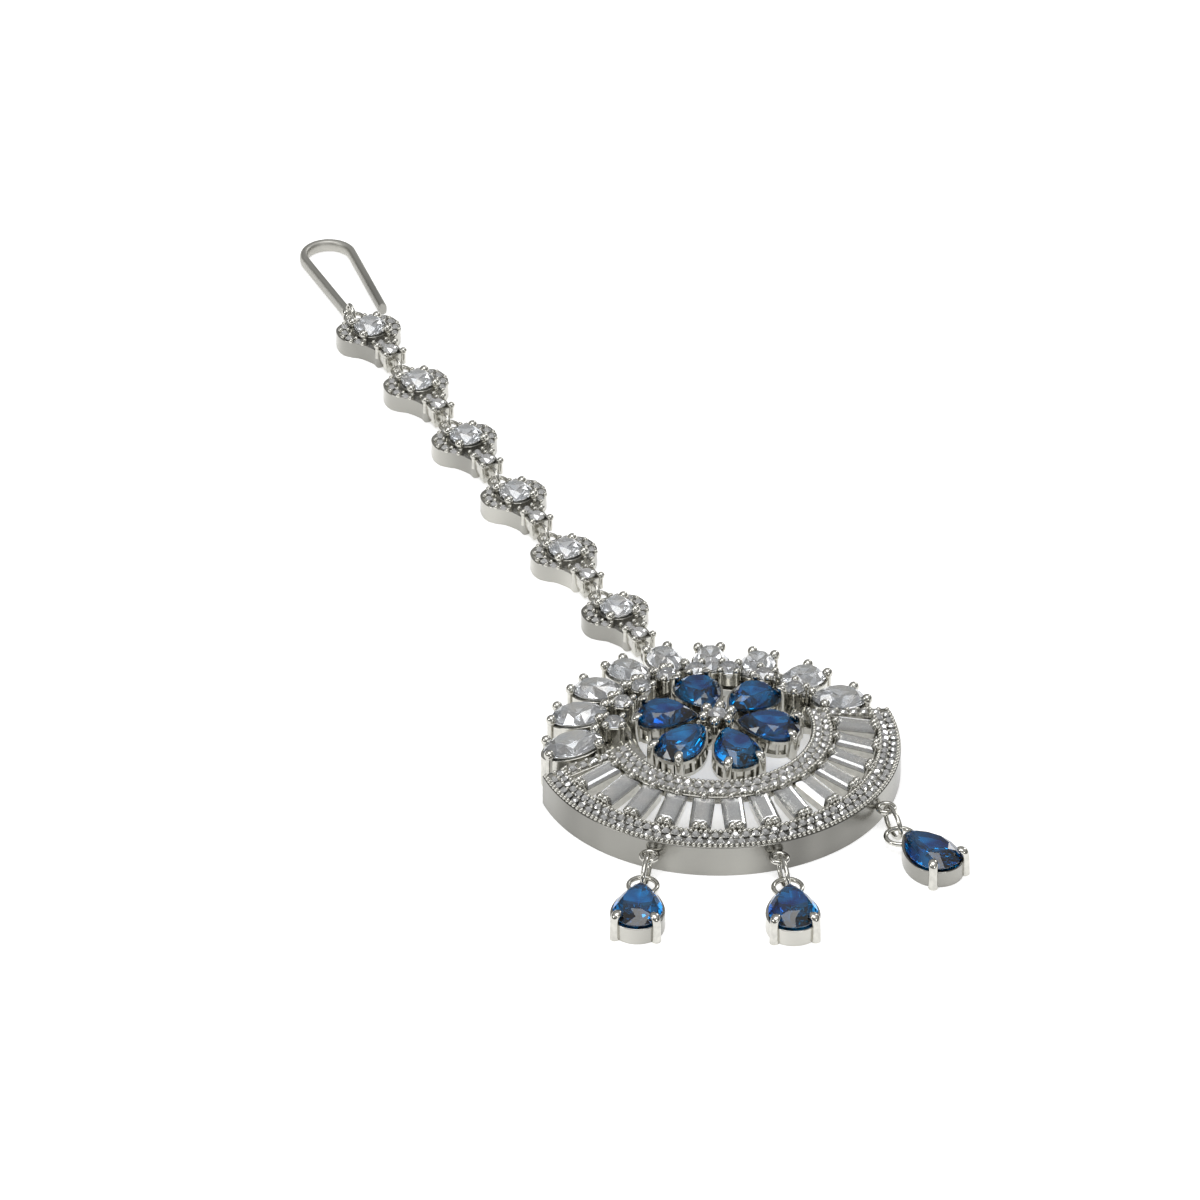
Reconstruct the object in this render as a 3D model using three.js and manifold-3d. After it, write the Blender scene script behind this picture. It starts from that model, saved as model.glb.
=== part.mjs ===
// A maang tikka, the jewel worn in a hair parting, lying face up.
// Millimetres, +Z up off the surface, +Y from the pendant towards the hair hook.
import * as THREE from "three";
import { mergeVertices } from "three/addons/utils/BufferGeometryUtils.js";
import Module from "manifold-3d";

const wasm = await Module();
wasm.setup();

// Fit and mesh fineness
const seatGap = 0.14;
const clawGap = 0.12;
const solderBite = 0.3;
const weldTolerance = 1e-4;
const wireSides = 5;
const ringSteps = 10;
const clawSides = 5;
const stoneSides = 10;
const smallSides = 8;
const toRadians = Math.PI / 180;

// Cut stones and the walls that hold them
const girdleThickness = 0.12;
const tableShare = 0.6;
const wallProud = 0.2;
const smallStoneCrown = 0.4;
const smallStoneDepth = 0.3;

// Round pendant: a low dome on a plain band
const bandRadius = 18;
const bandHeight = 3.25;
const bandWall = 0.8;
const domeSlope = 12 * toRadians;
const crescentHalfAngle = 91 * toRadians;
const outerRingWidth = 2.3;
const ringThickness = 0.8;
const innerRingRadius = 9.2;
const innerRingWidth = 2.2;
const endBarWidth = 1.5;
const endBarRise = 0.25;
const crescentSteps = 40;

// Baguette stones of the crescent
const baguetteCount = 13;
const baguetteHalfWidth = 1.08;
const baguetteEndGap = 0.25;
const baguetteCrown = 0.42;
const baguetteDepth = 0.95;
const baguetteLift = 0.1;
const baguetteSeat = 0.8;
const baguetteWallDepth = 0.9;
const baguetteTable = 0.62;

// Arch of large oval stones above the crescent
const archRadius = 14.5;
const ovalHalfLength = 2.95;
const ovalHalfWidth = 1.72;
const ovalCrown = 0.85;
const ovalDepth = 1.35;
const ovalLift = 0.35;
const archSeat = 0.86;
const archClawDrop = 1.2;
const archClawAngles = [36, -36, 180];

// From the left round to the right, where the arch lies a little lower and closer in
const archSink = 0.65;
const archStations = [
  { bearing: 78.2, reach: 0.985, width: 1.14, sink: 0 },
  { bearing: 57.4, reach: 0.965, width: 1.1, sink: 0 },
  { bearing: 37.6, reach: 0.965, width: 1.03, sink: 0 },
  { bearing: 18.6, reach: 0.97, width: 1.0, sink: 0.15 },
  { bearing: 1, reach: 1.0, width: 1.0, sink: 0.4 },
  { bearing: -17, reach: 0.955, width: 1.0, sink: 0.8 },
  { bearing: -36.4, reach: 0.94, width: 1.03, sink: 1 },
  { bearing: -57.8, reach: 0.945, width: 1.1, sink: 1 },
  { bearing: -79, reach: 0.965, width: 1.14, sink: 0.85 },
];
const smallRoundBearings = [68.2, 47.4, 28, 9.8, -7.4, -26.5, -46.9, -68.6];
const smallRoundRadius = 1.05;
const smallRoundRise = 1.7;
const railArchBite = 0.75;
const railFlowerBite = 0.3;
const railThickness = 0.75;
const railDrop = 1.1;

// Flower of pear stones
const petalCount = 6;
const petalHalfLength = 3.1;
const petalHalfWidth = 2.3;
const petalReach = 5.1;
const petalLean = 5 * toRadians;
const petalCrown = 0.95;
const petalDepth = 1.35;
const flowerHeight = 6.1;
const petalSeat = 0.84;
const hubRadius = 2.4;
const hubHeight = 1.3;
const centreStoneRadius = 0.85;
const centreStoneRise = 1.25;
const centreCollarShare = 0.5;
const centreClawReach = 1.1;

// Claws
const clawRadius = 0.32;
const heavyClawRadius = 0.42;
const clawDome = 0.22;
const clawCrownShare = 0.8;
const pearClawAngles = [144, -144];
const squareClawAngles = [45, 135, 225, 315];

// Drops under the band
const dropLays = [
  { bearing: 140.1, ringYaw: 10.1, dropYaw: 5 },
  { bearing: 178.7, ringYaw: -5.4, dropYaw: -8 },
  { bearing: 220.6, ringYaw: -39, dropYaw: 17 },
];
const earReach = 0.9;
const earRadius = 0.8;
const earHeight = 2.12;
const jumpRingHalfLength = 1.95;
const jumpRingHalfHeight = 1.35;
const jumpWireRadius = 0.25;
const eyeRadius = 1.4;
const eyeHeight = 1.1;
const dropHalfLength = 3.6;
const dropHalfWidth = 2.4;
const dropCrown = 0.95;
const dropDepth = 1.25;
const dropGirdle = 2.05;
const dropSeat = 0.82;
const dropTipGap = 0.8;
const dropWallProud = 0.25;

// Chain of cluster links
const linkCount = 6;
const linkPitch = 11.94;
const chainLay = 6.54 * toRadians;
const chainEarHalfLength = 1.5;
const plateHalfWidth = 3.42;
const plateBack = 2.9;
const plateFront = 4.35;
const plateThickness = 1.9;
const plateOutline = [
  { along: 1, half: 0.5 },
  { along: 0.9, half: 0.8 },
  { along: 0.45, half: 1.0 },
  { along: -0.05, half: 0.97 },
  { along: -0.26, half: 0.84 },
  { along: -0.42, half: 0.62 },
  { along: -0.62, half: 0.47 },
  { along: -0.8, half: 0.35 },
  { along: -1, half: 0.31 },
];
const linkStoneRadius = 1.72;
const linkStoneCrown = 0.62;
const linkStoneDepth = 1.35;
const linkSeat = 0.84;
const collarRise = 0.35;
const basketAlong = 5.1;
const basketHalfWidth = 1.12;
const basketTaper = 0.7;
const basketHeight = 2.55;
const basketStoneRadius = 0.8;
const basketClawRadius = 0.29;
const basketClawInset = 0.1;
const basketClawDrop = 0.4;
const basketClawRise = 0.45;
const hingeRadius = 0.95;
const hingeWireRadius = 0.22;
const hingeHeight = 1.2;
const neckHalfWidth = 0.4;

// Hair hook
const hookWireHalfWidth = 0.45;
const hookWireHalfHeight = 0.66;
const hookBowRadius = 2.6;
const hookBowShift = 0.25;
const hookFootGap = 3.75;
const hookBowAlong = 13.4;
const hookFreeFoot = 1.35;
const hookYaw = -3.7 * toRadians;
const hookSteps = 24;
const hookSides = 8;
const hookBowSteps = 8;

// Places that follow from the sizes
const crescentInner = innerRingRadius + innerRingWidth;
const crescentOuter = bandRadius - outerRingWidth;
const baguetteReach = (crescentInner + crescentOuter) / 2;
const baguetteHalfLength = (crescentOuter - crescentInner) / 2 - baguetteEndGap;
const baguettePitch = (2 * (crescentHalfAngle - endBarWidth / baguetteReach)) / baguetteCount;
const railInner = petalReach + petalHalfLength - railFlowerBite;
const railOuter = archRadius - ovalHalfLength + railArchBite;
const smallRoundReach = (railInner + railOuter) / 2;
const railTop = domeHeight(railInner) - railDrop;
const galleryDrop = flowerHeight - railTop + solderBite;

// Finishes
const rhodium = new THREE.MeshStandardMaterial({ color: 0xb9bab5, roughness: 0.2, metalness: 1 });
const clearStone = new THREE.MeshStandardMaterial({ color: 0xe9edf1, roughness: 0.04, metalness: 0 });
const blueStone = new THREE.MeshStandardMaterial({ color: 0x0b2f86, roughness: 0.05, metalness: 0 });

// Solids and placing

function signedVolume(geometry) {
  const corners = geometry.attributes.position;
  const [a, b, c] = [new THREE.Vector3(), new THREE.Vector3(), new THREE.Vector3()];
  let total = 0;
  for (let i = 0; i < geometry.index.count; i += 3) {
    a.fromBufferAttribute(corners, geometry.index.getX(i));
    b.fromBufferAttribute(corners, geometry.index.getX(i + 1));
    c.fromBufferAttribute(corners, geometry.index.getX(i + 2));
    total += a.dot(b.cross(c)) / 6;
  }
  return total;
}

// The closed mesh of a three.js shape: one vertex at each corner, faces pointing out
function closedMesh(geometry) {
  const bare = geometry.clone();
  bare.deleteAttribute("normal");
  bare.deleteAttribute("uv");
  const merged = mergeVertices(bare, weldTolerance);
  if (signedVolume(merged) < 0) {
    merged.index.array.reverse();
  }
  return merged;
}

function toSolid(geometry) {
  const mesh = closedMesh(geometry);
  const triVerts = [];
  const index = mesh.index.array;
  for (let i = 0; i < index.length; i += 3) {
    const corners = [index[i], index[i + 1], index[i + 2]];
    if (new Set(corners).size === 3) {
      triVerts.push(...corners);
    }
  }
  return new wasm.Manifold(new wasm.Mesh({
    numProp: 3,
    vertProperties: mesh.attributes.position.array,
    triVerts: new Uint32Array(triVerts),
  }));
}

function toGeometry(solid) {
  const mesh = solid.getMesh();
  const geometry = new THREE.BufferGeometry();
  geometry.setAttribute("position", new THREE.BufferAttribute(mesh.vertProperties, 3));
  geometry.setIndex(new THREE.BufferAttribute(mesh.triVerts, 1));
  geometry.computeVertexNormals();
  return geometry;
}

function joined(pieces) {
  return pieces.map(toSolid).reduce((whole, piece) => whole.add(piece));
}

// A place on the pendant: bearing is turned from +Y towards -X, and the local +Y points outwards
function station(bearing, reach, height, lean = 0) {
  const turn = new THREE.Matrix4().makeRotationZ(bearing);
  const shift = new THREE.Matrix4().makeTranslation(0, reach, height);
  return turn.multiply(shift).multiply(new THREE.Matrix4().makeRotationX(lean));
}

// Seams are closed before a shape is placed, while their corners still match
function moved(geometry, x, y, z) {
  return closedMesh(geometry).translate(x, y, z);
}

function put(geometry, matrix) {
  return closedMesh(geometry).applyMatrix4(matrix);
}

function domeHeight(reach) {
  return bandHeight + (bandRadius - reach) * Math.tan(domeSlope);
}

// Outlines: a unit circle point (u, v) becomes a point on an oval, a rectangle or a pear

const roundOutline = (half) => (u, v) => [half * u, half * v];

const ovalOutline = (halfWidth, halfLength) => (u, v) => [halfWidth * u, halfLength * v];

// A rectangle whose corners are the four points of a square lathe
const boxOutline = (halfWidth, halfLength) => (u, v) => [
  halfWidth * u * Math.SQRT2,
  halfLength * v * Math.SQRT2,
];

// The pear comes to a point at v = 1 and is widest near v = -1/4
const pearFullness = 0.35;
const pearWidest = 0.821;
const pearOutline = (halfWidth, halfLength) => (u, v) => [
  (halfWidth * u * (Math.max(0, 1 - v) / 2) ** pearFullness) / pearWidest,
  halfLength * v,
];

function ringPoints(outline, sides, share, proud) {
  const points = [];
  for (let i = 0; i < sides; i += 1) {
    const angle = ((i + (sides === 4 ? 0.5 : 0)) * 2 * Math.PI) / sides;
    const [x, y] = outline(-Math.sin(angle), Math.cos(angle));
    const size = Math.hypot(x, y);
    points.push(new THREE.Vector2(x, y).multiplyScalar(share + proud / size));
  }
  return points;
}

// A cut stone: table, crown, thin girdle and pointed back, its girdle at z = 0
function cutStone(outline, sides, crown, depth, table = tableShare) {
  const profile = [
    new THREE.Vector2(0, -depth),
    new THREE.Vector2(1, -girdleThickness),
    new THREE.Vector2(1, 0),
    new THREE.Vector2(table, crown),
    new THREE.Vector2(0, crown),
  ];
  const start = sides === 4 ? Math.PI / 4 : 0;
  const stone = new THREE.LatheGeometry(profile, sides, start).rotateX(Math.PI / 2);
  const corners = stone.attributes.position;
  for (let i = 0; i < corners.count; i += 1) {
    const size = Math.hypot(corners.getX(i), corners.getY(i));
    if (size > weldTolerance) {
      const [x, y] = outline(corners.getX(i) / size, -corners.getY(i) / size);
      corners.setXY(i, x * size, y * size);
    }
  }
  return stone;
}

// How far under the girdle a wall may rise without touching the stone's back
function seatDrop(depth, share) {
  return depth * (1 - share) + seatGap;
}

// A setting wall that follows an outline, open through the middle
function settingWall(outline, sides, proud, share, bottom, top) {
  const wall = new THREE.Shape(ringPoints(outline, sides, 1, proud));
  wall.holes.push(new THREE.Path(ringPoints(outline, sides, share, 0)));
  const shape = new THREE.ExtrudeGeometry(wall, { depth: top - bottom, bevelEnabled: false });
  return shape.translate(0, 0, bottom);
}

function claw(radius, bottom, top, sides = clawSides) {
  const profile = [
    new THREE.Vector2(0, bottom),
    new THREE.Vector2(radius, bottom),
    new THREE.Vector2(radius, top - clawDome),
    new THREE.Vector2(0, top),
  ];
  return new THREE.LatheGeometry(profile, sides).rotateX(Math.PI / 2);
}

// A claw outside the outline at an angle from the local +Y
function clawOn(outline, angle, radius, bottom, top) {
  const [x, y] = outline(Math.sin(angle), Math.cos(angle));
  const size = Math.hypot(x, y);
  const out = (size + clawGap + radius) / size;
  return moved(claw(radius, bottom, top), x * out, y * out, 0);
}

// A closed ring of wire, flat in its own XY plane
function wireRing(halfWidth, halfLength, wireRadius, steps = ringSteps) {
  const ring = new THREE.TorusGeometry(1, wireRadius, wireSides, steps);
  const corners = ring.attributes.position;
  for (let i = 0; i < corners.count; i += 1) {
    const angle = Math.atan2(corners.getY(i), corners.getX(i));
    const out = Math.hypot(corners.getX(i), corners.getY(i)) - 1;
    const x = halfWidth * Math.cos(angle) + out * Math.cos(angle);
    const y = halfLength * Math.sin(angle) + out * Math.sin(angle);
    corners.setXY(i, x, y);
  }
  return ring;
}

function barBetween(halfWidth, from, to, bottom, top) {
  const bar = new THREE.BoxGeometry(2 * halfWidth, to - from, top - bottom);
  return bar.translate(0, (from + to) / 2, (bottom + top) / 2);
}

// Crescent

function ringSection(inner, outer, thickness) {
  return [
    new THREE.Vector2(inner, domeHeight(inner) - thickness),
    new THREE.Vector2(outer, domeHeight(outer) - thickness),
    new THREE.Vector2(outer, domeHeight(outer)),
    new THREE.Vector2(inner, domeHeight(inner)),
  ];
}

function turned(section) {
  return new THREE.LatheGeometry([...section, section[0]], crescentSteps).rotateX(Math.PI / 2);
}

// A tall sector that keeps the part of a ring within an angle of the -Y side
function sector(halfAngle, reach) {
  const edge = new THREE.Shape();
  edge.moveTo(0, 0);
  const steps = 8;
  for (let i = 0; i <= steps; i += 1) {
    const angle = -Math.PI / 2 - halfAngle + (2 * halfAngle * i) / steps;
    edge.lineTo(2 * reach * Math.cos(angle), 2 * reach * Math.sin(angle));
  }
  return new THREE.ExtrudeGeometry(edge, { depth: 4 * bandHeight, bevelEnabled: false })
    .translate(0, 0, -bandHeight);
}

function crescentRings() {
  const band = [
    new THREE.Vector2(bandRadius - bandWall, 0),
    new THREE.Vector2(bandRadius, 0),
    new THREE.Vector2(bandRadius, bandHeight),
    new THREE.Vector2(crescentOuter, domeHeight(crescentOuter)),
    new THREE.Vector2(crescentOuter, domeHeight(crescentOuter) - ringThickness),
    new THREE.Vector2(bandRadius - bandWall, domeHeight(bandRadius - bandWall) - ringThickness),
  ];
  const inner = ringSection(innerRingRadius, crescentInner, ringThickness);
  const keep = toSolid(sector(crescentHalfAngle, bandRadius));
  return toSolid(turned(band)).add(toSolid(turned(inner))).intersect(keep);
}

function endBar(side) {
  const from = innerRingRadius;
  const to = bandRadius - bandWall / 2;
  const bar = barBetween(endBarWidth / 2, from, to, -railDrop - solderBite, endBarRise);
  const middle = (from + to) / 2;
  bar.translate(0, -middle, 0);
  const bearing = Math.PI - side * (crescentHalfAngle - endBarWidth / 2 / middle);
  return put(bar, station(bearing, middle, domeHeight(middle), -domeSlope));
}

function baguetteStation(index) {
  const bearing = Math.PI + (index - (baguetteCount - 1) / 2) * baguettePitch;
  return station(bearing, baguetteReach, domeHeight(baguetteReach) + baguetteLift, -domeSlope);
}

const baguetteShape = boxOutline(baguetteHalfWidth, baguetteHalfLength);

function baguetteSetting(index) {
  const top = -seatDrop(baguetteDepth, baguetteSeat);
  const wall = settingWall(baguetteShape, 4, wallProud, baguetteSeat, top - baguetteWallDepth, top);
  const reach = baguetteHalfLength + clawGap + clawRadius;
  const outer = moved(claw(clawRadius, top - baguetteWallDepth, baguetteCrown), 0, reach, 0);
  return [wall, outer].map((piece) => put(piece, baguetteStation(index)));
}

// Arch of oval stones

const archPlaces = archStations.map(({ bearing, reach, width, sink }) => ({
  bearing: bearing * toRadians, reach: reach * archRadius, width, sink,
}));

function archShape(place) {
  return ovalOutline(ovalHalfWidth * place.width, ovalHalfLength);
}

function archGirdle(place) {
  return domeHeight(place.reach) + ovalLift - place.sink * archSink;
}

function archSetting(place) {
  const shape = archShape(place);
  const girdle = archGirdle(place);
  const top = girdle - seatDrop(ovalDepth, archSeat) - ovalHalfLength * Math.tan(domeSlope);
  const pieces = [settingWall(shape, stoneSides, wallProud, archSeat, 0, top)];
  const clawTop = girdle + ovalCrown * clawCrownShare;
  for (const angle of archClawAngles) {
    const drop = Math.cos(angle * toRadians) * ovalHalfLength * Math.tan(domeSlope);
    pieces.push(clawOn(shape, angle * toRadians, clawRadius, top - archClawDrop, clawTop - drop));
  }
  return pieces.map((piece) => put(piece, station(place.bearing, place.reach, 0)));
}

function smallRounds() {
  const pieces = [];
  const base = domeHeight(smallRoundReach) - railDrop;
  const rim = smallRoundRadius + wallProud;
  const collar = new THREE.CylinderGeometry(rim, smallRoundRadius, smallRoundRise, smallSides);
  collar.rotateX(Math.PI / 2).translate(0, 0, smallRoundRise / 2);
  const stone = cutStone(roundOutline(smallRoundRadius), smallSides, smallStoneCrown, smallStoneDepth);
  for (const bearing of smallRoundBearings) {
    const place = station(bearing * toRadians, smallRoundReach, base);
    pieces.push(put(collar, place), put(moved(stone, 0, 0, smallRoundRise), place));
  }
  return pieces;
}

function upperRail() {
  const section = ringSection(railInner, railOuter, railThickness);
  const keep = toSolid(sector(Math.PI - crescentHalfAngle + endBarWidth / railInner, bandRadius)
    .rotateZ(Math.PI));
  return toSolid(turned(section).translate(0, 0, -railDrop)).intersect(keep);
}

// Flower

const petalShape = pearOutline(petalHalfWidth, petalHalfLength);

// A petal's point looks at the middle of the flower
function petalStation(index) {
  const bearing = (index * 2 * Math.PI) / petalCount;
  const place = station(bearing, petalReach, flowerHeight, -petalLean);
  return place.multiply(new THREE.Matrix4().makeRotationZ(Math.PI));
}

function petalSetting(index) {
  const top = -seatDrop(petalDepth, petalSeat);
  const wall = settingWall(petalShape, stoneSides, wallProud, petalSeat, -galleryDrop, top);
  const claws = pearClawAngles.map((angle) =>
    clawOn(petalShape, angle * toRadians, clawRadius, -galleryDrop, petalCrown * clawCrownShare));
  return [wall, ...claws].map((piece) => put(piece, petalStation(index)));
}

function flowerHub() {
  const bottom = flowerHeight - galleryDrop;
  const hub = new THREE.CylinderGeometry(hubRadius, hubRadius, hubHeight, stoneSides);
  hub.rotateX(Math.PI / 2).translate(0, 0, bottom + hubHeight / 2);
  const collarTop = flowerHeight + centreStoneRise * centreCollarShare;
  const collarHeight = collarTop - bottom;
  const rim = centreStoneRadius;
  const collar = new THREE.CylinderGeometry(rim, rim, collarHeight, smallSides);
  collar.rotateX(Math.PI / 2).translate(0, 0, bottom + collarHeight / 2);
  const stone = cutStone(roundOutline(rim), smallSides, smallStoneCrown, smallStoneDepth);
  const pieces = [hub, collar, moved(stone, 0, 0, collarTop)];
  for (let i = 0; i < petalCount; i += 1) {
    const bearing = ((i + 0.5) * 2 * Math.PI) / petalCount;
    const top = flowerHeight + centreStoneRise;
    pieces.push(put(claw(clawRadius, bottom, top), station(bearing, centreClawReach, 0)));
  }
  return pieces;
}

// Ears for the drops and for the chain

function flatEar(bearing, reach, radius, halfLength, wireRadius, height) {
  return put(wireRing(radius, halfLength, wireRadius), station(bearing, reach, height));
}

function dropEars() {
  const reach = bandRadius + earReach;
  return dropLays.map(({ bearing }) =>
    flatEar(bearing * toRadians, reach, earRadius, earRadius, jumpWireRadius, earHeight));
}

const topStoneEnd = archRadius + ovalHalfLength;
const chainEarReach = topStoneEnd + chainEarHalfLength;

function chainEar() {
  return flatEar(0, chainEarReach, hingeRadius, chainEarHalfLength, hingeWireRadius, hingeHeight);
}

function pendantFrame() {
  const pieces = [endBar(1), endBar(-1)];
  for (let i = 0; i < baguetteCount; i += 1) {
    pieces.push(...baguetteSetting(i));
  }
  for (const place of archPlaces) {
    pieces.push(...archSetting(place));
  }
  pieces.push(...smallRounds());
  for (let i = 0; i < petalCount; i += 1) {
    pieces.push(...petalSetting(i));
  }
  pieces.push(...flowerHub(), ...dropEars(), chainEar());
  return crescentRings().add(upperRail()).add(joined(pieces));
}

// Drops

const dropShape = pearOutline(dropHalfWidth, dropHalfLength);

// Origin at the middle of the eye; the drop lies towards -Y with its tip over the eye's ring
const dropAlong = -(dropTipGap + dropHalfLength);

function dropSetting() {
  const top = dropGirdle - seatDrop(dropDepth, dropSeat);
  const pieces = [settingWall(dropShape, stoneSides, dropWallProud, dropSeat, 0, top)];
  for (const angle of pearClawAngles) {
    pieces.push(clawOn(dropShape, angle * toRadians, heavyClawRadius, 0, dropGirdle + dropCrown));
  }
  const setting = pieces.map((piece) => moved(piece, 0, dropAlong, 0));
  const eye = moved(wireRing(eyeRadius, eyeRadius, jumpWireRadius), 0, 0, eyeHeight);
  return joined([...setting, eye]);
}

function jumpRing() {
  return wireRing(jumpRingHalfHeight, jumpRingHalfLength, jumpWireRadius).rotateY(Math.PI / 2);
}

// Half the ring's width at a height above or below its middle
function ringHalfChord(rise) {
  return jumpRingHalfLength * Math.sqrt(1 - (rise / jumpRingHalfHeight) ** 2);
}

// Links

function plateShape() {
  const shape = new THREE.Shape();
  const side = plateOutline.map(({ along, half }) => new THREE.Vector2(
    -plateHalfWidth * half,
    along > 0 ? along * plateBack : along * plateFront,
  ));
  const mirrored = side.map((point) => new THREE.Vector2(-point.x, point.y)).reverse();
  shape.setFromPoints([...side, ...mirrored]);
  const hole = new THREE.Path(ringPoints(roundOutline(linkStoneRadius), stoneSides, linkSeat, 0));
  shape.holes.push(hole);
  return shape;
}

const linkGirdle = plateThickness + collarRise + seatDrop(linkStoneDepth, linkSeat);

function linkPlate() {
  const plate = new THREE.ExtrudeGeometry(plateShape(), { depth: plateThickness, bevelEnabled: false });
  const stone = roundOutline(linkStoneRadius);
  const rim = plateThickness + collarRise;
  const collar = settingWall(stone, stoneSides, wallProud, linkSeat, plateThickness / 2, rim);
  const pieces = [plate, collar];
  const top = linkGirdle + linkStoneCrown * clawCrownShare;
  for (const angle of squareClawAngles) {
    pieces.push(clawOn(stone, angle * toRadians, clawRadius, plateThickness / 2, top));
  }
  return pieces;
}

// The small square basket that ends each link
function linkBasket() {
  const shape = boxOutline(basketHalfWidth - basketClawInset, basketHalfWidth - basketClawInset);
  const corner = basketHalfWidth * Math.SQRT2;
  const foot = corner * basketTaper;
  const body = new THREE.CylinderGeometry(corner, foot, basketHeight, 4, 1, false, Math.PI / 4);
  body.rotateX(Math.PI / 2).translate(0, 0, basketHeight / 2);
  const stone = cutStone(roundOutline(basketStoneRadius), smallSides, smallStoneCrown, smallStoneDepth);
  const pieces = [body, moved(stone, 0, 0, basketHeight)];
  const stalk = claw(basketClawRadius, basketHeight - basketClawDrop, basketHeight + basketClawRise, 4);
  for (const angle of squareClawAngles) {
    const [x, y] = shape(Math.sin(angle * toRadians), Math.cos(angle * toRadians));
    pieces.push(moved(stalk, x, y, 0));
  }
  return pieces.map((piece) => moved(piece, 0, -basketAlong, 0));
}

const linkLoopAlong = -(basketAlong + basketHalfWidth + hingeRadius - solderBite);
const linkEarAlong = linkPitch + linkLoopAlong - hingeRadius;

function uprightLoop(along) {
  return wireRing(hingeRadius, hingeRadius, hingeWireRadius).rotateY(Math.PI / 2)
    .translate(0, along, hingeHeight);
}

function link() {
  const ear = moved(wireRing(hingeRadius, hingeRadius, hingeWireRadius), 0, linkEarAlong, hingeHeight);
  const neckBottom = hingeHeight - hingeWireRadius;
  const neckFrom = plateBack - solderBite;
  const neckTo = linkEarAlong - hingeRadius + hingeWireRadius / 2;
  const neck = barBetween(neckHalfWidth, neckFrom, neckTo, neckBottom, neckBottom + 2 * hingeWireRadius);
  return joined([...linkPlate(), ...linkBasket(), ear, neck, uprightLoop(linkLoopAlong)]);
}

// Hook: origin at the middle of the last link's ear, the wire bending round to the right

function hookRoute() {
  const axis = hookFootGap / 2 + hookBowShift;
  const rise = hookWireHalfHeight;
  const points = [new THREE.Vector3(0, 2 * hingeRadius - hingeWireRadius / 2, rise)];
  for (let i = 0; i <= hookBowSteps; i += 1) {
    const angle = Math.PI - (Math.PI * i) / hookBowSteps;
    const x = axis + hookBowRadius * Math.cos(angle);
    const y = hookBowAlong + hookBowRadius * Math.sin(angle);
    points.push(new THREE.Vector3(x, y, rise));
  }
  points.push(new THREE.Vector3(hookFootGap, hookFreeFoot, rise));
  return new THREE.CatmullRomCurve3(points, false, "centripetal");
}

function hairHook() {
  const section = new THREE.Shape(ringPoints(ovalOutline(1, 1), hookSides, 1, 0).map(
    (point) => new THREE.Vector2(point.x * hookWireHalfHeight, point.y * hookWireHalfWidth)));
  const wire = new THREE.ExtrudeGeometry(section, {
    steps: hookSteps, bevelEnabled: false, extrudePath: hookRoute(),
  });
  return joined([wire, uprightLoop(hingeRadius)]);
}

// The assembly

function named(name, geometry, material) {
  const mesh = new THREE.Mesh(geometry, material);
  mesh.name = name;
  return mesh;
}

function namedAt(name, geometry, material, matrix) {
  const mesh = named(name, closedMesh(geometry), material);
  matrix.decompose(mesh.position, mesh.quaternion, mesh.scale);
  return mesh;
}

function metal(name, solid) {
  return named(name, toGeometry(solid), rhodium);
}

function addBaguettes(jewel) {
  for (let i = 0; i < baguetteCount; i += 1) {
    const stone = cutStone(baguetteShape, 4, baguetteCrown, baguetteDepth, baguetteTable);
    jewel.add(namedAt(`baguette_${i + 1}`, stone, clearStone, baguetteStation(i)));
  }
}

function addArchStones(jewel) {
  archPlaces.forEach((place, i) => {
    const stone = cutStone(archShape(place), stoneSides, ovalCrown, ovalDepth);
    const seat = station(place.bearing, place.reach, archGirdle(place), -domeSlope);
    jewel.add(namedAt(`arch_stone_${i + 1}`, stone, clearStone, seat));
  });
}

function addPetals(jewel) {
  for (let i = 0; i < petalCount; i += 1) {
    const stone = cutStone(petalShape, stoneSides, petalCrown, petalDepth);
    jewel.add(namedAt(`petal_${i + 1}`, stone, blueStone, petalStation(i)));
  }
}

function addDrops(jewel) {
  const ringHeight = jumpRingHalfHeight + jumpWireRadius;
  const toEar = ringHalfChord(earHeight - ringHeight);
  const toEye = ringHalfChord(eyeHeight - ringHeight);
  dropLays.forEach(({ bearing, ringYaw, dropYaw }, i) => {
    const ear = new THREE.Group();
    const out = bandRadius + earReach;
    ear.rotation.z = (bearing + 180 + ringYaw) * toRadians;
    ear.position.set(-out * Math.sin(bearing * toRadians), out * Math.cos(bearing * toRadians), 0);
    const ring = named(`jump_ring_${i + 1}`, closedMesh(jumpRing()), rhodium);
    ring.position.set(0, -toEar, ringHeight);
    const eye = new THREE.Group();
    eye.position.set(0, -toEar - toEye, 0);
    eye.rotation.z = dropYaw * toRadians;
    const cut = closedMesh(cutStone(dropShape, stoneSides, dropCrown, dropDepth));
    const stone = named(`drop_stone_${i + 1}`, cut, blueStone);
    stone.position.set(0, dropAlong, dropGirdle);
    eye.add(metal(`drop_setting_${i + 1}`, dropSetting()), stone);
    ear.add(ring, eye);
    jewel.add(ear);
  });
}

function addChain(jewel) {
  const chain = new THREE.Group();
  chain.position.set(0, chainEarReach + chainEarHalfLength - hingeRadius, 0);
  chain.rotation.z = chainLay;
  const cut = cutStone(roundOutline(linkStoneRadius), stoneSides, linkStoneCrown, linkStoneDepth);
  for (let i = 0; i < linkCount; i += 1) {
    const place = new THREE.Group();
    place.position.y = hingeRadius - linkLoopAlong + i * linkPitch;
    const stone = named(`link_stone_${i + 1}`, closedMesh(cut), clearStone);
    stone.position.z = linkGirdle;
    place.add(metal(`link_${i + 1}`, link()), stone);
    chain.add(place);
  }
  const hook = new THREE.Group();
  hook.position.y = linkCount * linkPitch;
  hook.rotation.z = hookYaw;
  hook.add(metal("hair_hook", hairHook()));
  chain.add(hook);
  jewel.add(chain);
}

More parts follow.
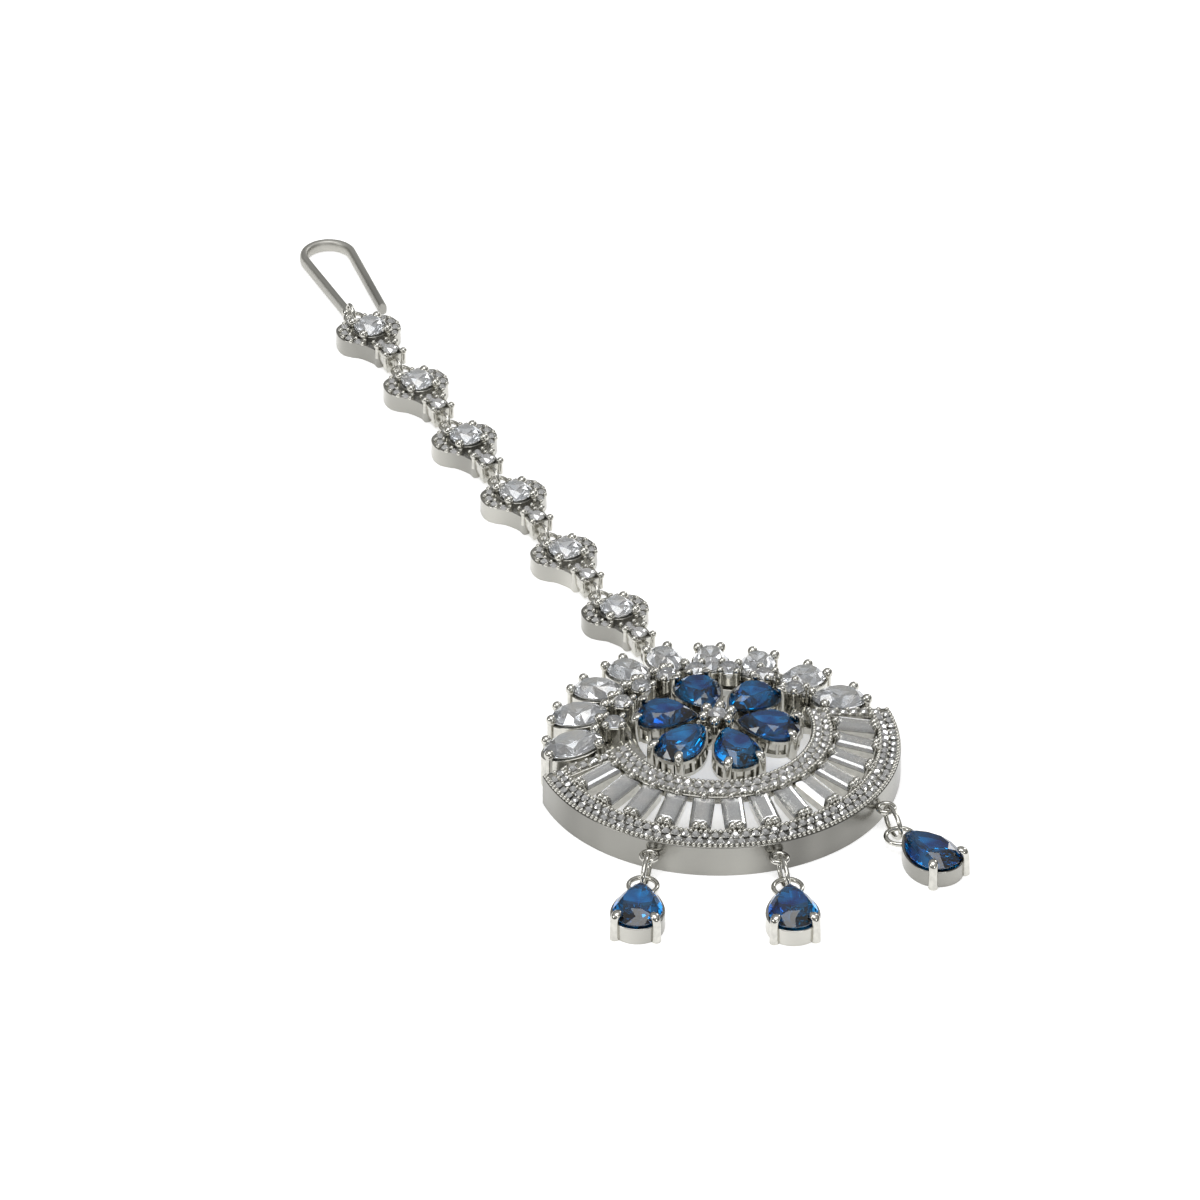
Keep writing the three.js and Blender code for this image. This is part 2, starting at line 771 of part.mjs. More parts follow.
const jewel = new THREE.Group();
jewel.add(metal("pendant_frame", pendantFrame()));
addBaguettes(jewel);
addArchStones(jewel);
addPetals(jewel);
addDrops(jewel);
addChain(jewel);

// The model's origin is the middle of the jewel's footprint
const group = new THREE.Group();
group.add(jewel);
group.updateMatrixWorld(true);
const footprint = new THREE.Box3().setFromObject(jewel);
const middle = footprint.getCenter(new THREE.Vector3());
jewel.position.set(-middle.x, -middle.y, -footprint.min.z);

export default group;
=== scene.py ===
"""A maang tikka, the jewel worn in a hair parting, lying face up on a pale table.

Shapes are made in millimetres about the middle of the round pendant, with +Y towards the hair hook,
and are put in their place in metres when a piece is finished.
"""
import math
import random

import bmesh
import bpy
from bpy.props import FloatProperty, FloatVectorProperty, PointerProperty
from mathutils import Matrix, Vector


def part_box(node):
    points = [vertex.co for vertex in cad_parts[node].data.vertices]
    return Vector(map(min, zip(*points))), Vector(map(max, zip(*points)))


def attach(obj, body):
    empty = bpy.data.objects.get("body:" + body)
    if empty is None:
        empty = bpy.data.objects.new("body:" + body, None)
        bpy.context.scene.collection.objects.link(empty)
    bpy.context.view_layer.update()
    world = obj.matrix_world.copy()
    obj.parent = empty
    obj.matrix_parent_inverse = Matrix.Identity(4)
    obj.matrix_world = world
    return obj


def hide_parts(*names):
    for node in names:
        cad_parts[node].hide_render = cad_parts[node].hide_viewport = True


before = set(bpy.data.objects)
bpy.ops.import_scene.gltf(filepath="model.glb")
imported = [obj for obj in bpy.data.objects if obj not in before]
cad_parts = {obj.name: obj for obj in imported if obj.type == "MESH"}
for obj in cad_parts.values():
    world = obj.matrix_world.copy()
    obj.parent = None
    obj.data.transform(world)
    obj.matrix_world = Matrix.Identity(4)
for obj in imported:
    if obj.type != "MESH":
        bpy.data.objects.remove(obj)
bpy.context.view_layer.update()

bl_info = {
    "name": "Maang Tikka",
    "version": (1, 0, 0),
    "blender": (4, 5, 0),
    "location": "View3D > Sidebar > Maang Tikka",
    "description": "Builds a hair parting jewel with its stones, settings, chain, drops and hook",
    "category": "Add Mesh",
}

MM = 0.001
BODY = "root"
FRAME_NODE = ["pendant_frame"]
HOOK_NODE = ["hair_hook"]
WHITE = (1.0, 1.0, 1.0)
TABLE_HALF_WIDTH = 3.0

# Round pendant: a low dome on a plain band
BAND_RADIUS = 18.0
BAND_HEIGHT = 3.25
BAND_WALL = 0.8
DOME_SLOPE = math.radians(12)
CRESCENT_HALF_ANGLE = math.radians(91)
OUTER_RING_WIDTH = 2.3
RING_THICKNESS = 0.8
INNER_RING_RADIUS = 9.2
INNER_RING_WIDTH = 2.2
END_BAR_WIDTH = 1.5
RING_STEPS = 96

# Baguettes of the crescent
BAGUETTE_COUNT = 13
BAGUETTE_HALF_WIDTH = 1.08
BAGUETTE_END_GAP = 0.25
BAGUETTE_CROWN = 0.42
BAGUETTE_DEPTH = 0.95
BAGUETTE_LIFT = 0.1

# Arch of oval stones, and the small round stones inside it
ARCH_RADIUS = 14.5
OVAL_HALF_LENGTH = 2.95
OVAL_HALF_WIDTH = 1.72
OVAL_CROWN = 0.85
OVAL_DEPTH = 1.35
OVAL_LIFT = 0.35
ARCH_SINK = 0.65
# Bearing in degrees, and shares of the arch's radius, of a stone's width and of the sink
ARCH_STATIONS = (
    (78.2, 0.985, 1.14, 0.0),
    (57.4, 0.965, 1.1, 0.0),
    (37.6, 0.965, 1.03, 0.0),
    (18.6, 0.97, 1.0, 0.15),
    (1.0, 1.0, 1.0, 0.4),
    (-17.0, 0.955, 1.0, 0.8),
    (-36.4, 0.94, 1.03, 1.0),
    (-57.8, 0.945, 1.1, 1.0),
    (-79.0, 0.965, 1.14, 0.85),
)
SMALL_ROUND_BEARINGS = (68.2, 47.4, 28.0, 9.8, -7.4, -26.5, -46.9, -68.6)
SMALL_ROUND_RADIUS = 1.05
SMALL_ROUND_RISE = 1.7
RAIL_THICKNESS = 0.75
RAIL_DROP = 1.1
RAIL_ARCH_BITE = 0.75
RAIL_FLOWER_BITE = 0.3

# Flower of pear stones
PETAL_COUNT = 6
PETAL_HALF_LENGTH = 3.1
PETAL_HALF_WIDTH = 2.3
PETAL_REACH = 5.1
PETAL_LEAN = math.radians(5)
PETAL_CROWN = 0.95
PETAL_DEPTH = 1.35
FLOWER_HEIGHT = 6.1
GALLERY_DROP = 2.1
HUB_RADIUS = 2.4
HUB_HEIGHT = 1.3
CENTRE_STONE_RADIUS = 0.95
CENTRE_TOP = 7.33
PEAR_FULLNESS = 0.35
PEAR_WIDEST = 0.821

# Drops under the band: bearing, turn of the ring and turn of the drop, in degrees
DROP_LAYS = ((140.1, 10.1, 5.0), (178.7, -5.4, -8.0), (220.6, -39.0, 17.0))
EAR_REACH = 0.9
EAR_RADIUS = 0.8
EAR_HEIGHT = 2.12
JUMP_RING_HALF_LENGTH = 1.95
JUMP_RING_HALF_HEIGHT = 1.35
JUMP_WIRE_RADIUS = 0.25
EYE_RADIUS = 1.4
EYE_HEIGHT = 1.1
DROP_HALF_LENGTH = 3.6
DROP_TIP_GAP = 0.8
DROP_HALF_WIDTH = 2.4
DROP_CROWN = 0.95
DROP_DEPTH = 1.25
DROP_GIRDLE = 2.05

# Chain of cluster links
LINK_COUNT = 6
LINK_PITCH = 11.94
CHAIN_LAY = math.radians(6.54)
PLATE_HALF_WIDTH = 3.42
PLATE_BACK = 2.9
PLATE_FRONT = 4.35
PLATE_THICKNESS = 1.9
PLATE_OUTLINE = (
    (1.0, 0.0),
    (0.98, 0.45),
    (0.72, 0.86),
    (0.3, 1.0),
    (-0.08, 0.98),
    (-0.27, 0.82),
    (-0.42, 0.6),
    (-0.62, 0.45),
    (-0.8, 0.35),
    (-1.0, 0.31),
    (-1.0, 0.0),
)
LINK_STONE_RADIUS = 1.72
LINK_STONE_CROWN = 0.62
LINK_STONE_DEPTH = 1.35
LINK_GIRDLE = 2.61
COLLAR_RISE = 0.35
BASKET_ALONG = 5.1
BASKET_HALF_WIDTH = 1.12
BASKET_HEIGHT = 2.55
HINGE_RADIUS = 0.95
HINGE_WIRE_RADIUS = 0.22
HINGE_HEIGHT = 1.2
LINK_LOOP_ALONG = -6.87
LINK_EAR_ALONG = 4.12
CHAIN_EAR_HALF_LENGTH = 1.5
NECK_HALF_WIDTH = 0.4

# Hair hook
HOOK_HALF_WIDTH = 0.45
HOOK_HALF_HEIGHT = 0.66
HOOK_BOW_RADIUS = 2.6
HOOK_BOW_SHIFT = 0.25
HOOK_FOOT_GAP = 3.75
HOOK_BOW_ALONG = 13.4
HOOK_FREE_FOOT = 1.35
HOOK_YAW = math.radians(-3.7)

# Cut of the stones
GIRDLE_THICKNESS = 0.1
FACET_ANGLE = math.radians(1.5)
PEAR_CORNERS = 10
PEAR_TABLE = 0.62
# Levels of a baguette: shares of its width and length, and of the crown above or the depth below
STEP_CROWN = ((0.36, 0.72, 1.0), (0.62, 0.83, 0.82), (0.84, 0.92, 0.5), (1.0, 1.0, 0.0))
STEP_KEEL = ((0.76, 0.9, 0.42), (0.44, 0.78, 0.76), (0.06, 0.62, 1.0))
# Crown and depth of the round stones
CENTRE_STONE_CUT = (0.3, 0.35)
RAIL_STONE_CUT = (0.4, 0.9)
PAVE_CUT = (0.22, 0.5)
LINK_PAVE_CUT = (0.2, 0.45)
BASKET_STONE_CUT = (0.32, 0.5)

# Small stones and beads, as a setter leaves them
SETTING_SEED = 5
STONE_ROWS = (0.27, 0.75)
BEAD_ROWS = (0.0, 0.5, 1.0)
STONE_LIFT = 0.12
BEAD_LIFT = 0.08
BAR_STONE_LIFT = 0.14
BAR_BEAD_LIFT = 0.12
SETTING_DRIFT = 0.03
STONE_TILT = 0.3
ROW_MARGIN = 0.02

# Open boxes under the baguettes
BOX_TOP = -0.12
BOX_BOTTOM = -1.35
BOX_FOOT = (0.8, 0.94)
BOX_SPREAD = (1.28, 1.1, 1.0)
BOX_WALL = 0.22
BOX_BEVEL = 0.04

# Walls round the stones: a pair is how far a wall stands out, and the share that it leaves open
ARCH_WALL = (0.2, 0.86)
ARCH_SEAT = 0.2
ARCH_WALL_DROP = 0.12
COLLAR_WALL = (0.12, 0.8)
COLLAR_FOOT = -0.3
COLLAR_DROP = 0.15
DROP_WALL = (0.25, 0.84)
DROP_SEAT = 0.3
LINK_COLLAR = (0.18, 0.84)
STONE_SEAT = 0.84
# Walls of a petal's gallery: the same pair, then bottom and top
GALLERY_WALLS = (
    (0.2, 0.84, -0.5, -0.16),
    (0.16, 0.84, -GALLERY_DROP, 0.42 - GALLERY_DROP),
    (-0.22, 0.82, 0.2 - GALLERY_DROP, -0.3),
)
# Height and half width of a rib's ends, and the spread of the ribs in degrees
GALLERY_RIB = ((-GALLERY_DROP, 0.17), (-0.3, 0.2))
GALLERY_RIBS = 15
RIB_START = 30
RIB_SPREAD = 300
# Height and half width of the hub's levels, up to the post under the centre stone
HUB_BOTTOM = FLOWER_HEIGHT - GALLERY_DROP
HUB_TOP = HUB_BOTTOM + HUB_HEIGHT
HUB_LEVELS = (
    (HUB_BOTTOM, HUB_RADIUS),
    (HUB_TOP, HUB_RADIUS),
    (HUB_TOP + 0.2, 0.95),
    (CENTRE_TOP - 0.75, 0.8),
)
CENTRE_STONE_DROP = 0.42

# Claws: half width of the stem and of the ball on it, foot and top
RAIL_CLAW = (0.26, 0.4, 0.0, SMALL_ROUND_RISE + 0.5)
CENTRE_CLAW = (0.34, 0.58, HUB_TOP, CENTRE_TOP)
LINK_CLAW = (0.34, 0.5, 1.0, LINK_GIRDLE + LINK_STONE_CROWN * 0.8)
BASKET_CLAW = (0.24, 0.38, 1.1, BASKET_HEIGHT + 0.42)
# The same for a baguette's claws, with stem and ball in shares of the panel's claw
OUTER_CLAW = (1.0, 1.3, BOX_BOTTOM, BAGUETTE_CROWN + 0.36)
INNER_CLAW = (0.8, 1.15, -0.6, BAGUETTE_CROWN + 0.26)
ARCH_CLAW_SHARES = (1.1, 1.6)
ARCH_CLAW_DEPTH = 2.2
PETAL_CLAW_SHARE = 1.3
DROP_CLAW = 0.46
CLAW_BEND = 0.5
CLAW_TIP = 0.55
CLAW_HEIGHT_SHARE = 0.95
# Lower levels of a bent claw: shares of its height and of its radius
CLAW_SHAFT = ((0.0, 1.05), (0.6, 0.95))
# Its upper levels: share of the bend, tips below the top, and shares of the radius both ways
CLAW_LEVELS = (
    (0.25, 2.0, 0.98, 1.0),
    (0.6, 1.0, 1.06, 1.1),
    (0.85, 0.3, 0.85, 0.9),
    (1.0, 0.0, 0.4, 0.42),
)

# Where claws stand: a pair is how far outside the stone, and the angles on it in degrees
OUTER_CLAW_OUT = 0.12
INNER_CLAW_OUT = 0.05
CENTRE_CLAW_REACH = 1.42
BASKET_CLAW_SHARE = 0.92
FOUR_CORNERS = (45, 135, 225, 315)
ARCH_CLAWS = (0.12, (38, -38, 142, -142))
RAIL_CLAWS = (0.1, FOUR_CORNERS)
PETAL_CLAWS = (0.38, (144, -144))
DROP_CLAWS = (0.36, (140, -140))
LINK_CLAWS = (0.24, FOUR_CORNERS)

# Small stones and beads of the links
LINK_PAVE_RADIUS = 0.42
LINK_BEAD_RADIUS = 0.26
LINK_PAVE_LIFT = 0.12
BASKET_STONE_RADIUS = 0.82
LOBE_SHIFT = 0.1
LOBE_STONES = (26, 52, 78, 104, 130)
LOBE_STONE_OVAL = (2.72, 2.6)
LOBE_BEADS = (13, 40, 65, 91, 117, 143)
LOBE_BEAD_OVALS = ((3.12, 2.85), (2.3, 2.2))
NECK_STONES = (-2.75, -3.6)
NECK_BEADS = (-2.4, -3.15, -3.9)
NECK_BEAD_SIDE = 0.72
NECK_BITE = 0.4
# Height and width of the basket's levels, from the foot up and down again inside it
BASKET_LEVELS = (
    (0.1, 0.6),
    (1.1, 0.88),
    (BASKET_HEIGHT - 0.2, 0.96),
    (BASKET_HEIGHT - 0.2, 0.78),
    (BASKET_HEIGHT - 0.9, 0.7),
)

# Hook's wire and the cap on its foot; the trim keeps the wire within the solid
BOW_STEPS = 28
LEG_STEPS = 6
SQUARENESS = 0.75
HOOK_TRIM = 0.99
HOOK_CAP = (0.62, 0.55, 0.62)
HOOK_CAP_LIFT = 0.1

# Lamps: place and width in metres, the power that each takes and its share of it
LAMPS = (
    ("overhead_light", (-0.1, -0.15, 0.9), 0.8, "key_power", 1.0),
    ("left_light", (-0.8, -0.1, 0.45), 0.3, "side_power", 1.0),
    ("right_light", (0.7, 0.45, 0.5), 0.3, "side_power", 1.0),
    ("front_light", (0.15, -0.9, 0.35), 0.16, "side_power", 0.6),
)

# Places that follow from the sizes
CRESCENT_INNER = INNER_RING_RADIUS + INNER_RING_WIDTH
CRESCENT_OUTER = BAND_RADIUS - OUTER_RING_WIDTH
BAGUETTE_REACH = (CRESCENT_INNER + CRESCENT_OUTER) / 2
BAGUETTE_HALF_LENGTH = (CRESCENT_OUTER - CRESCENT_INNER) / 2 - BAGUETTE_END_GAP
BAGUETTE_PITCH = 2 * (CRESCENT_HALF_ANGLE - END_BAR_WIDTH / BAGUETTE_REACH) / BAGUETTE_COUNT
RAIL_INNER = PETAL_REACH + PETAL_HALF_LENGTH - RAIL_FLOWER_BITE
RAIL_OUTER = ARCH_RADIUS - OVAL_HALF_LENGTH + RAIL_ARCH_BITE
SMALL_ROUND_REACH = (RAIL_INNER + RAIL_OUTER) / 2
CHAIN_EAR_REACH = ARCH_RADIUS + OVAL_HALF_LENGTH + CHAIN_EAR_HALF_LENGTH
CHAIN_START = CHAIN_EAR_REACH + CHAIN_EAR_HALF_LENGTH - HINGE_RADIUS

# Photograph's camera, from the middle of the pendant
CAMERA_BEARING = math.radians(-19.14)
CAMERA_HEIGHT_ANGLE = math.radians(33.262)
CAMERA_TARGET = (-0.832, 32.633, 0.0)
CAMERA_DISTANCE = 933.485
CAMERA_LENS = 277.57


def middle(node):
    """Middle of a CAD node's box, in metres."""
    low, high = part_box(node)
    return (low + high) / 2


def pendant_place():
    """From millimetres about the pendant's middle to metres in the row's frame."""
    centre = (middle("petal_1") + middle("petal_4")) / 2
    centre.z = 0.0
    return Matrix.Translation(centre) @ Matrix.Scale(MM, 4)


PENDANT_PLACE = pendant_place()
UPRIGHT = Matrix.Rotation(math.pi / 2, 4, "Y")


# Places

def station(bearing, reach, height=0.0, lean=0.0):
    """A place on the pendant: turned from +Y towards -X, its own +Y pointing outwards."""
    shift = Matrix.Translation((0.0, reach, height))
    return Matrix.Rotation(bearing, 4, "Z") @ shift @ Matrix.Rotation(lean, 4, "X")


def at(x, y, z=0.0):
    return Matrix.Translation((x, y, z))


def dome_height(reach):
    return BAND_HEIGHT + (BAND_RADIUS - reach) * math.tan(DOME_SLOPE)


def dome_slab(near, far, thickness, drop=0.0):
    """Section of a flat ring that lies along the dome, a little under it."""
    low = drop + thickness
    return (
        (near, dome_height(near) - low),
        (far, dome_height(far) - low),
        (far, dome_height(far) - drop),
        (near, dome_height(near) - drop),
    )


def on_dome(bearing, reach, lift=0.0):
    return station(bearing, reach, dome_height(reach) + lift, -DOME_SLOPE)


def baguette_place(index):
    bearing = math.pi + (index - (BAGUETTE_COUNT - 1) / 2) * BAGUETTE_PITCH
    return on_dome(bearing, BAGUETTE_REACH, BAGUETTE_LIFT)


def arch_places():
    """Bearing, reach, width share and girdle height of the oval stones, from -X round to +X."""
    places = []
    for bearing, reach, width, sink in ARCH_STATIONS:
        reach *= ARCH_RADIUS
        girdle = dome_height(reach) + OVAL_LIFT - sink * ARCH_SINK
        places.append((math.radians(bearing), reach, width, girdle))
    return places


def petal_place(index):
    turn = index * 2 * math.pi / PETAL_COUNT
    place = station(turn, PETAL_REACH, FLOWER_HEIGHT, -PETAL_LEAN)
    return place @ Matrix.Rotation(math.pi, 4, "Z")


def ring_half_chord(rise):
    return JUMP_RING_HALF_LENGTH * math.sqrt(1 - (rise / JUMP_RING_HALF_HEIGHT) ** 2)


def drop_places(index):
    """Places of a jump ring's middle and of a drop's eye."""
    bearing, ring_turn, drop_turn = DROP_LAYS[index]
    ring_height = JUMP_RING_HALF_HEIGHT + JUMP_WIRE_RADIUS
    to_ear = ring_half_chord(EAR_HEIGHT - ring_height)
    to_eye = ring_half_chord(EYE_HEIGHT - ring_height)
    ear = station(math.radians(bearing), BAND_RADIUS + EAR_REACH)
    ear = ear @ Matrix.Rotation(math.radians(180 + ring_turn), 4, "Z")
    ring = ear @ at(0, -to_ear, ring_height)
    eye = ear @ at(0, -to_ear - to_eye) @ Matrix.Rotation(math.radians(drop_turn), 4, "Z")
    return ring, eye


def chain_place(along):
    return at(0, CHAIN_START) @ Matrix.Rotation(CHAIN_LAY, 4, "Z") @ at(0, along)


def link_place(index):
    return chain_place(HINGE_RADIUS - LINK_LOOP_ALONG + index * LINK_PITCH)


# Outlines: a unit circle's point becomes a point of the outline

def oval_outline(half_width, half_length):
    return lambda u, v: (half_width * u, half_length * v)


def round_outline(half):
    return oval_outline(half, half)


def pear_outline(half_width, half_length):
    """A pear whose point looks along +Y."""
    def point(u, v):
        narrow = (max(0.0, 1 - v) / 2) ** PEAR_FULLNESS / PEAR_WIDEST
        return half_width * u * narrow, half_length * v
    return point


def rounded_square(u, v):
    return math.copysign(abs(u) ** SQUARENESS, u), math.copysign(abs(v) ** SQUARENESS, v)


def smooth_loop(points, steps):
    """A smooth closed route through a few points."""
    count = len(points)
    route = []
    for span in range(count):
        a, b, c, d = (Vector(points[(span + i) % count]) for i in (-1, 0, 1, 2))
        bend = 2 * a - 5 * b + 4 * c - d
        twist = 3 * b - a - 3 * c + d
        for step in range(steps):
            t = step / steps
            route.append((2 * b + (c - a) * t + bend * t ** 2 + twist * t ** 3) / 2)
    return route


def plate_outline():
    """The link's plate, with a round lobe on each side and a neck towards the pendant."""
    half = []
    for along, share in PLATE_OUTLINE:
        reach = PLATE_BACK if along > 0 else PLATE_FRONT
        half.append((share * PLATE_HALF_WIDTH, along * reach))
    other = [(-x, y) for x, y in half[-2:0:-1]]
    route = smooth_loop(half + other, 4)

    def point(u, v):
        turn = math.atan2(u, v) / (2 * math.pi) % 1.0
        spot = route[round(turn * len(route)) % len(route)]
        return spot.x, spot.y
    return point, len(route)


# Shapes

def template(build):
    """A shape built once, kept as a mesh and put in many places."""
    bm = bmesh.new()
    build(bm)
    bmesh.ops.remove_doubles(bm, verts=bm.verts, dist=1e-4)
    bmesh.ops.recalc_face_normals(bm, faces=bm.faces)
    mesh = bpy.data.meshes.new("template")
    bm.to_mesh(mesh)
    bm.free()
    return mesh


def scatter(bm, shape, places):
    for place in places:
        copy = shape.copy()
        copy.transform(place)
        bm.from_mesh(copy)
        bpy.data.meshes.remove(copy)


def filled(shape, places):
    """A new bmesh with the shape in each of the places."""
    bm = bmesh.new()
    scatter(bm, shape, places)
    return bm


def ring_edges(verts):
    return list({edge for vert in verts for edge in vert.link_edges if edge.is_wire})


def loft(bm, rings, segments, outline=None):
    """Circles or outlines joined one to the next; each ring is the matrix that places one."""
    loops = []
    ends = []
    for ring in rings:
        verts = bmesh.ops.create_circle(bm, cap_ends=False, segments=segments, radius=1.0)["verts"]
        for vert in verts:
            if outline:
                vert.co.xy = outline(vert.co.x, vert.co.y)
            vert.co = ring @ vert.co
        loops.append(ring_edges(verts))
        ends.append(verts)
    for near, far in zip(loops, loops[1:]):
        bmesh.ops.bridge_loops(bm, edges=near + far)
    bm.faces.new(ends[0])
    bm.faces.new(ends[-1])


def disc(height, half_width):
    """Place and size of one of a loft's rings."""
    return at(0, 0, height) @ Matrix.Diagonal((half_width, half_width, 1.0, 1.0))


def offset_outline(outline, share, proud=0.0):
    """An outline scaled by a share and moved outwards."""
    def point(u, v):
        x, y = outline(u, v)
        out = share + proud / math.hypot(x, y)
        return x * out, y * out
    return point


def raised_ring(bm, outer, inner, steps, bottom, top):
    """The upright ring between two outlines."""
    edges = []
    for outline in (outer, inner):
        verts = bmesh.ops.create_circle(bm, cap_ends=False, segments=steps, radius=1.0)["verts"]
        for vert in verts:
            vert.co = (*outline(vert.co.x, vert.co.y), bottom)
        edges += ring_edges(verts)
    faces = bmesh.ops.bridge_loops(bm, edges=edges)["faces"]
    raised(bm, faces, top - bottom)


def raised(bm, faces, height):
    """Gives flat faces a height; returns the corners of the top."""
    grown = bmesh.ops.extrude_face_region(bm, geom=faces)["geom"]
    lifted = [item for item in grown if isinstance(item, bmesh.types.BMVert)]
    bmesh.ops.translate(bm, vec=(0.0, 0.0, height), verts=lifted)
    return lifted


def wall(bm, outline, steps, proud, share, bottom, top):
    """A ring wall that follows an outline and is open through the middle."""
    outer = offset_outline(outline, 1.0, proud)
    raised_ring(bm, outer, offset_outline(outline, share), steps, bottom, top)


def swept(bm, section, start, sweep, steps):
    """A closed section, given as distance from the axis and height, turned about Z."""
    turn = Matrix.Rotation(start, 4, "Z")
    verts = [bm.verts.new(turn @ Vector((reach, 0.0, height))) for reach, height in section]
    face = bm.faces.new(verts)
    bmesh.ops.spin(
        bm,
        geom=[face, *face.edges, *face.verts],
        cent=(0.0, 0.0, 0.0),
        axis=(0.0, 0.0, 1.0),
        angle=sweep,
        steps=steps,
    )


def wire_ring(bm, half_width, half_length, wire, place, steps=28):
    """A closed ring of wire, flat in its own XY plane."""
    def build(shape):
        start = at(1, 0) @ Matrix.Rotation(math.pi / 2, 4, "X")
        verts = bmesh.ops.create_circle(
            shape, cap_ends=False, segments=10, radius=wire, matrix=start)["verts"]
        bmesh.ops.spin(
            shape, geom=verts + ring_edges(verts), cent=(0, 0, 0), axis=(0, 0, 1),
            angle=2 * math.pi, steps=steps, use_merge=True)
        for vert in shape.verts:
            angle = math.atan2(vert.co.y, vert.co.x)
            out = math.hypot(vert.co.x, vert.co.y) - 1
            vert.co.x = (half_width + out) * math.cos(angle)
            vert.co.y = (half_length + out) * math.sin(angle)
    scatter(bm, template(build), [place])


def close_stone(bm):
    """Wraps the corners of a stone in its facets."""
    hull = bmesh.ops.convex_hull(bm, input=bm.verts)
    spare = {item for item in hull["geom_interior"] + hull["geom_unused"]
             if isinstance(item, bmesh.types.BMVert)}
    bmesh.ops.delete(bm, geom=list(spare), context="VERTS")
    loose = [edge for edge in bm.edges if not edge.link_faces]
    bmesh.ops.delete(bm, geom=loose, context="EDGES")
    bmesh.ops.dissolve_limit(bm, angle_limit=FACET_ANGLE, verts=bm.verts, edges=bm.edges)


def cut_stone(outline, levels):
    """A closed cut stone with its girdle at z = 0.

    Each level is its share of the outline, its height, its number of corners and whether it is
    turned by half a corner.
    """
    def build(bm):
        for share, height, corners, half_turn in levels:
            turn = Matrix.Rotation(math.pi / corners if half_turn else 0.0, 4, "Z")
            ring = bmesh.ops.create_circle(
                bm, cap_ends=False, segments=corners, radius=1.0, matrix=turn)
            for vert in ring["verts"]:
                x, y = outline(vert.co.x, vert.co.y)
                vert.co = (x * share, y * share, height)
        close_stone(bm)
    return template(build)


def brilliant_levels(crown, depth, corners=8, table=0.58):
    return (
        (table, crown, corners, True),
        (0.5 + table / 2, crown * 0.6, corners, False),
        (1.0, 0.0, 2 * corners, False),
        (1.0, -GIRDLE_THICKNESS, 2 * corners, False),
        (0.52, -depth * 0.58, corners, True),
        (0.04, -depth, corners, True),
    )


def small_levels(crown, depth):
    """Few facets, for stones that are set by the hundred."""
    return (
        (0.55, crown, 6, True),
        (1.0, 0.0, 12, False),
        (0.05, -depth, 6, True),
    )


def step_stone():
    """A baguette: a table with three steps round it and a stepped keel underneath."""
    levels = [(wide, long, BAGUETTE_CROWN * share) for wide, long, share in STEP_CROWN]
    levels.append((1.0, 1.0, -GIRDLE_THICKNESS))
    levels += [(wide, long, -BAGUETTE_DEPTH * share) for wide, long, share in STEP_KEEL]

    def build(bm):
        for wide, long, height in levels:
            size = (wide * BAGUETTE_HALF_WIDTH, long * BAGUETTE_HALF_LENGTH)
            for x, y in ((1, 1), (-1, 1), (-1, -1), (1, -1)):
                bm.verts.new((x * size[0], y * size[1], height))
        close_stone(bm)
    return template(build)


def bead(radius):
    def build(bm):
        bmesh.ops.create_uvsphere(bm, u_segments=8, v_segments=6, radius=radius)
    return template(build)


def claw(radius, bottom, top):
    """A round claw whose tip bends over the stone, towards its own -Y."""
    rings = [disc(bottom + share * (top - bottom), wide * radius) for share, wide in CLAW_SHAFT]
    for bend, under, wide, long in CLAW_LEVELS:
        spot = at(0, -bend * CLAW_BEND, top - under * CLAW_TIP * radius)
        rings.append(spot @ Matrix.Diagonal((wide * radius, long * radius, 1.0, 1.0)))
    return template(lambda bm: loft(bm, rings, 12))


def ball_claw(radius, ball, bottom, top):
    """A thin stem with a round ball on it."""
    def build(bm):
        loft(bm, (disc(bottom, radius), disc(top - ball, radius)), 10)
        bmesh.ops.create_uvsphere(
            bm, u_segments=14, v_segments=9, radius=ball, matrix=at(0, 0, top - ball))
    return template(build)


def place_on(outline, angle, out):
    """A place a little outside an outline, turned so that its -Y looks at the outline's middle."""
    turn = math.radians(angle)
    x, y = outline(math.sin(turn), math.cos(turn))
    share = 1 + out / math.hypot(x, y)
    return at(x * share, y * share) @ Matrix.Rotation(math.atan2(-x, y), 4, "Z")


def add_claws(bm, shape, places, outline, out, angles):
    """Stands the claws of stones that share an outline."""
    for place in places:
        scatter(bm, shape, [place @ place_on(outline, angle, out) for angle in angles])


# Pieces

def finish_piece(bm, name, material, replaced=(), sharp=None, bevel=0.0):
    """Makes the object in place, in metres, with its finish and the CAD nodes that it stands for."""
    bmesh.ops.recalc_face_normals(bm, faces=bm.faces)
    bmesh.ops.transform(bm, matrix=PENDANT_PLACE, verts=bm.verts)
    mesh = bpy.data.meshes.new(name)
    bm.to_mesh(mesh)
    bm.free()
    if sharp is not None:
        mesh.polygons.foreach_set("use_smooth", [True] * len(mesh.polygons))
        mesh.set_sharp_from_angle(angle=math.radians(sharp))
    mesh.materials.append(material)
    piece = bpy.data.objects.new(name, mesh)
    bpy.context.scene.collection.objects.link(piece)
    if bevel:
        rounding = piece.modifiers.new("Rounded edges", "BEVEL")
        rounding.width = bevel * MM
        rounding.segments = 2
        rounding.limit_method = "ANGLE"
        rounding.angle_limit = math.radians(40)
    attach(piece, BODY)
    if replaced:
        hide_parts(*replaced)


def metal_piece(bm, name, replaced=(), sharp=50, bevel=0.0, material=None):
    finish_piece(bm, name, material or polished_rhodium(), replaced, sharp, bevel)


def stone_piece(name, shape, places, material, replaced=()):
    finish_piece(filled(shape, places), name, material, replaced)


# Finishes

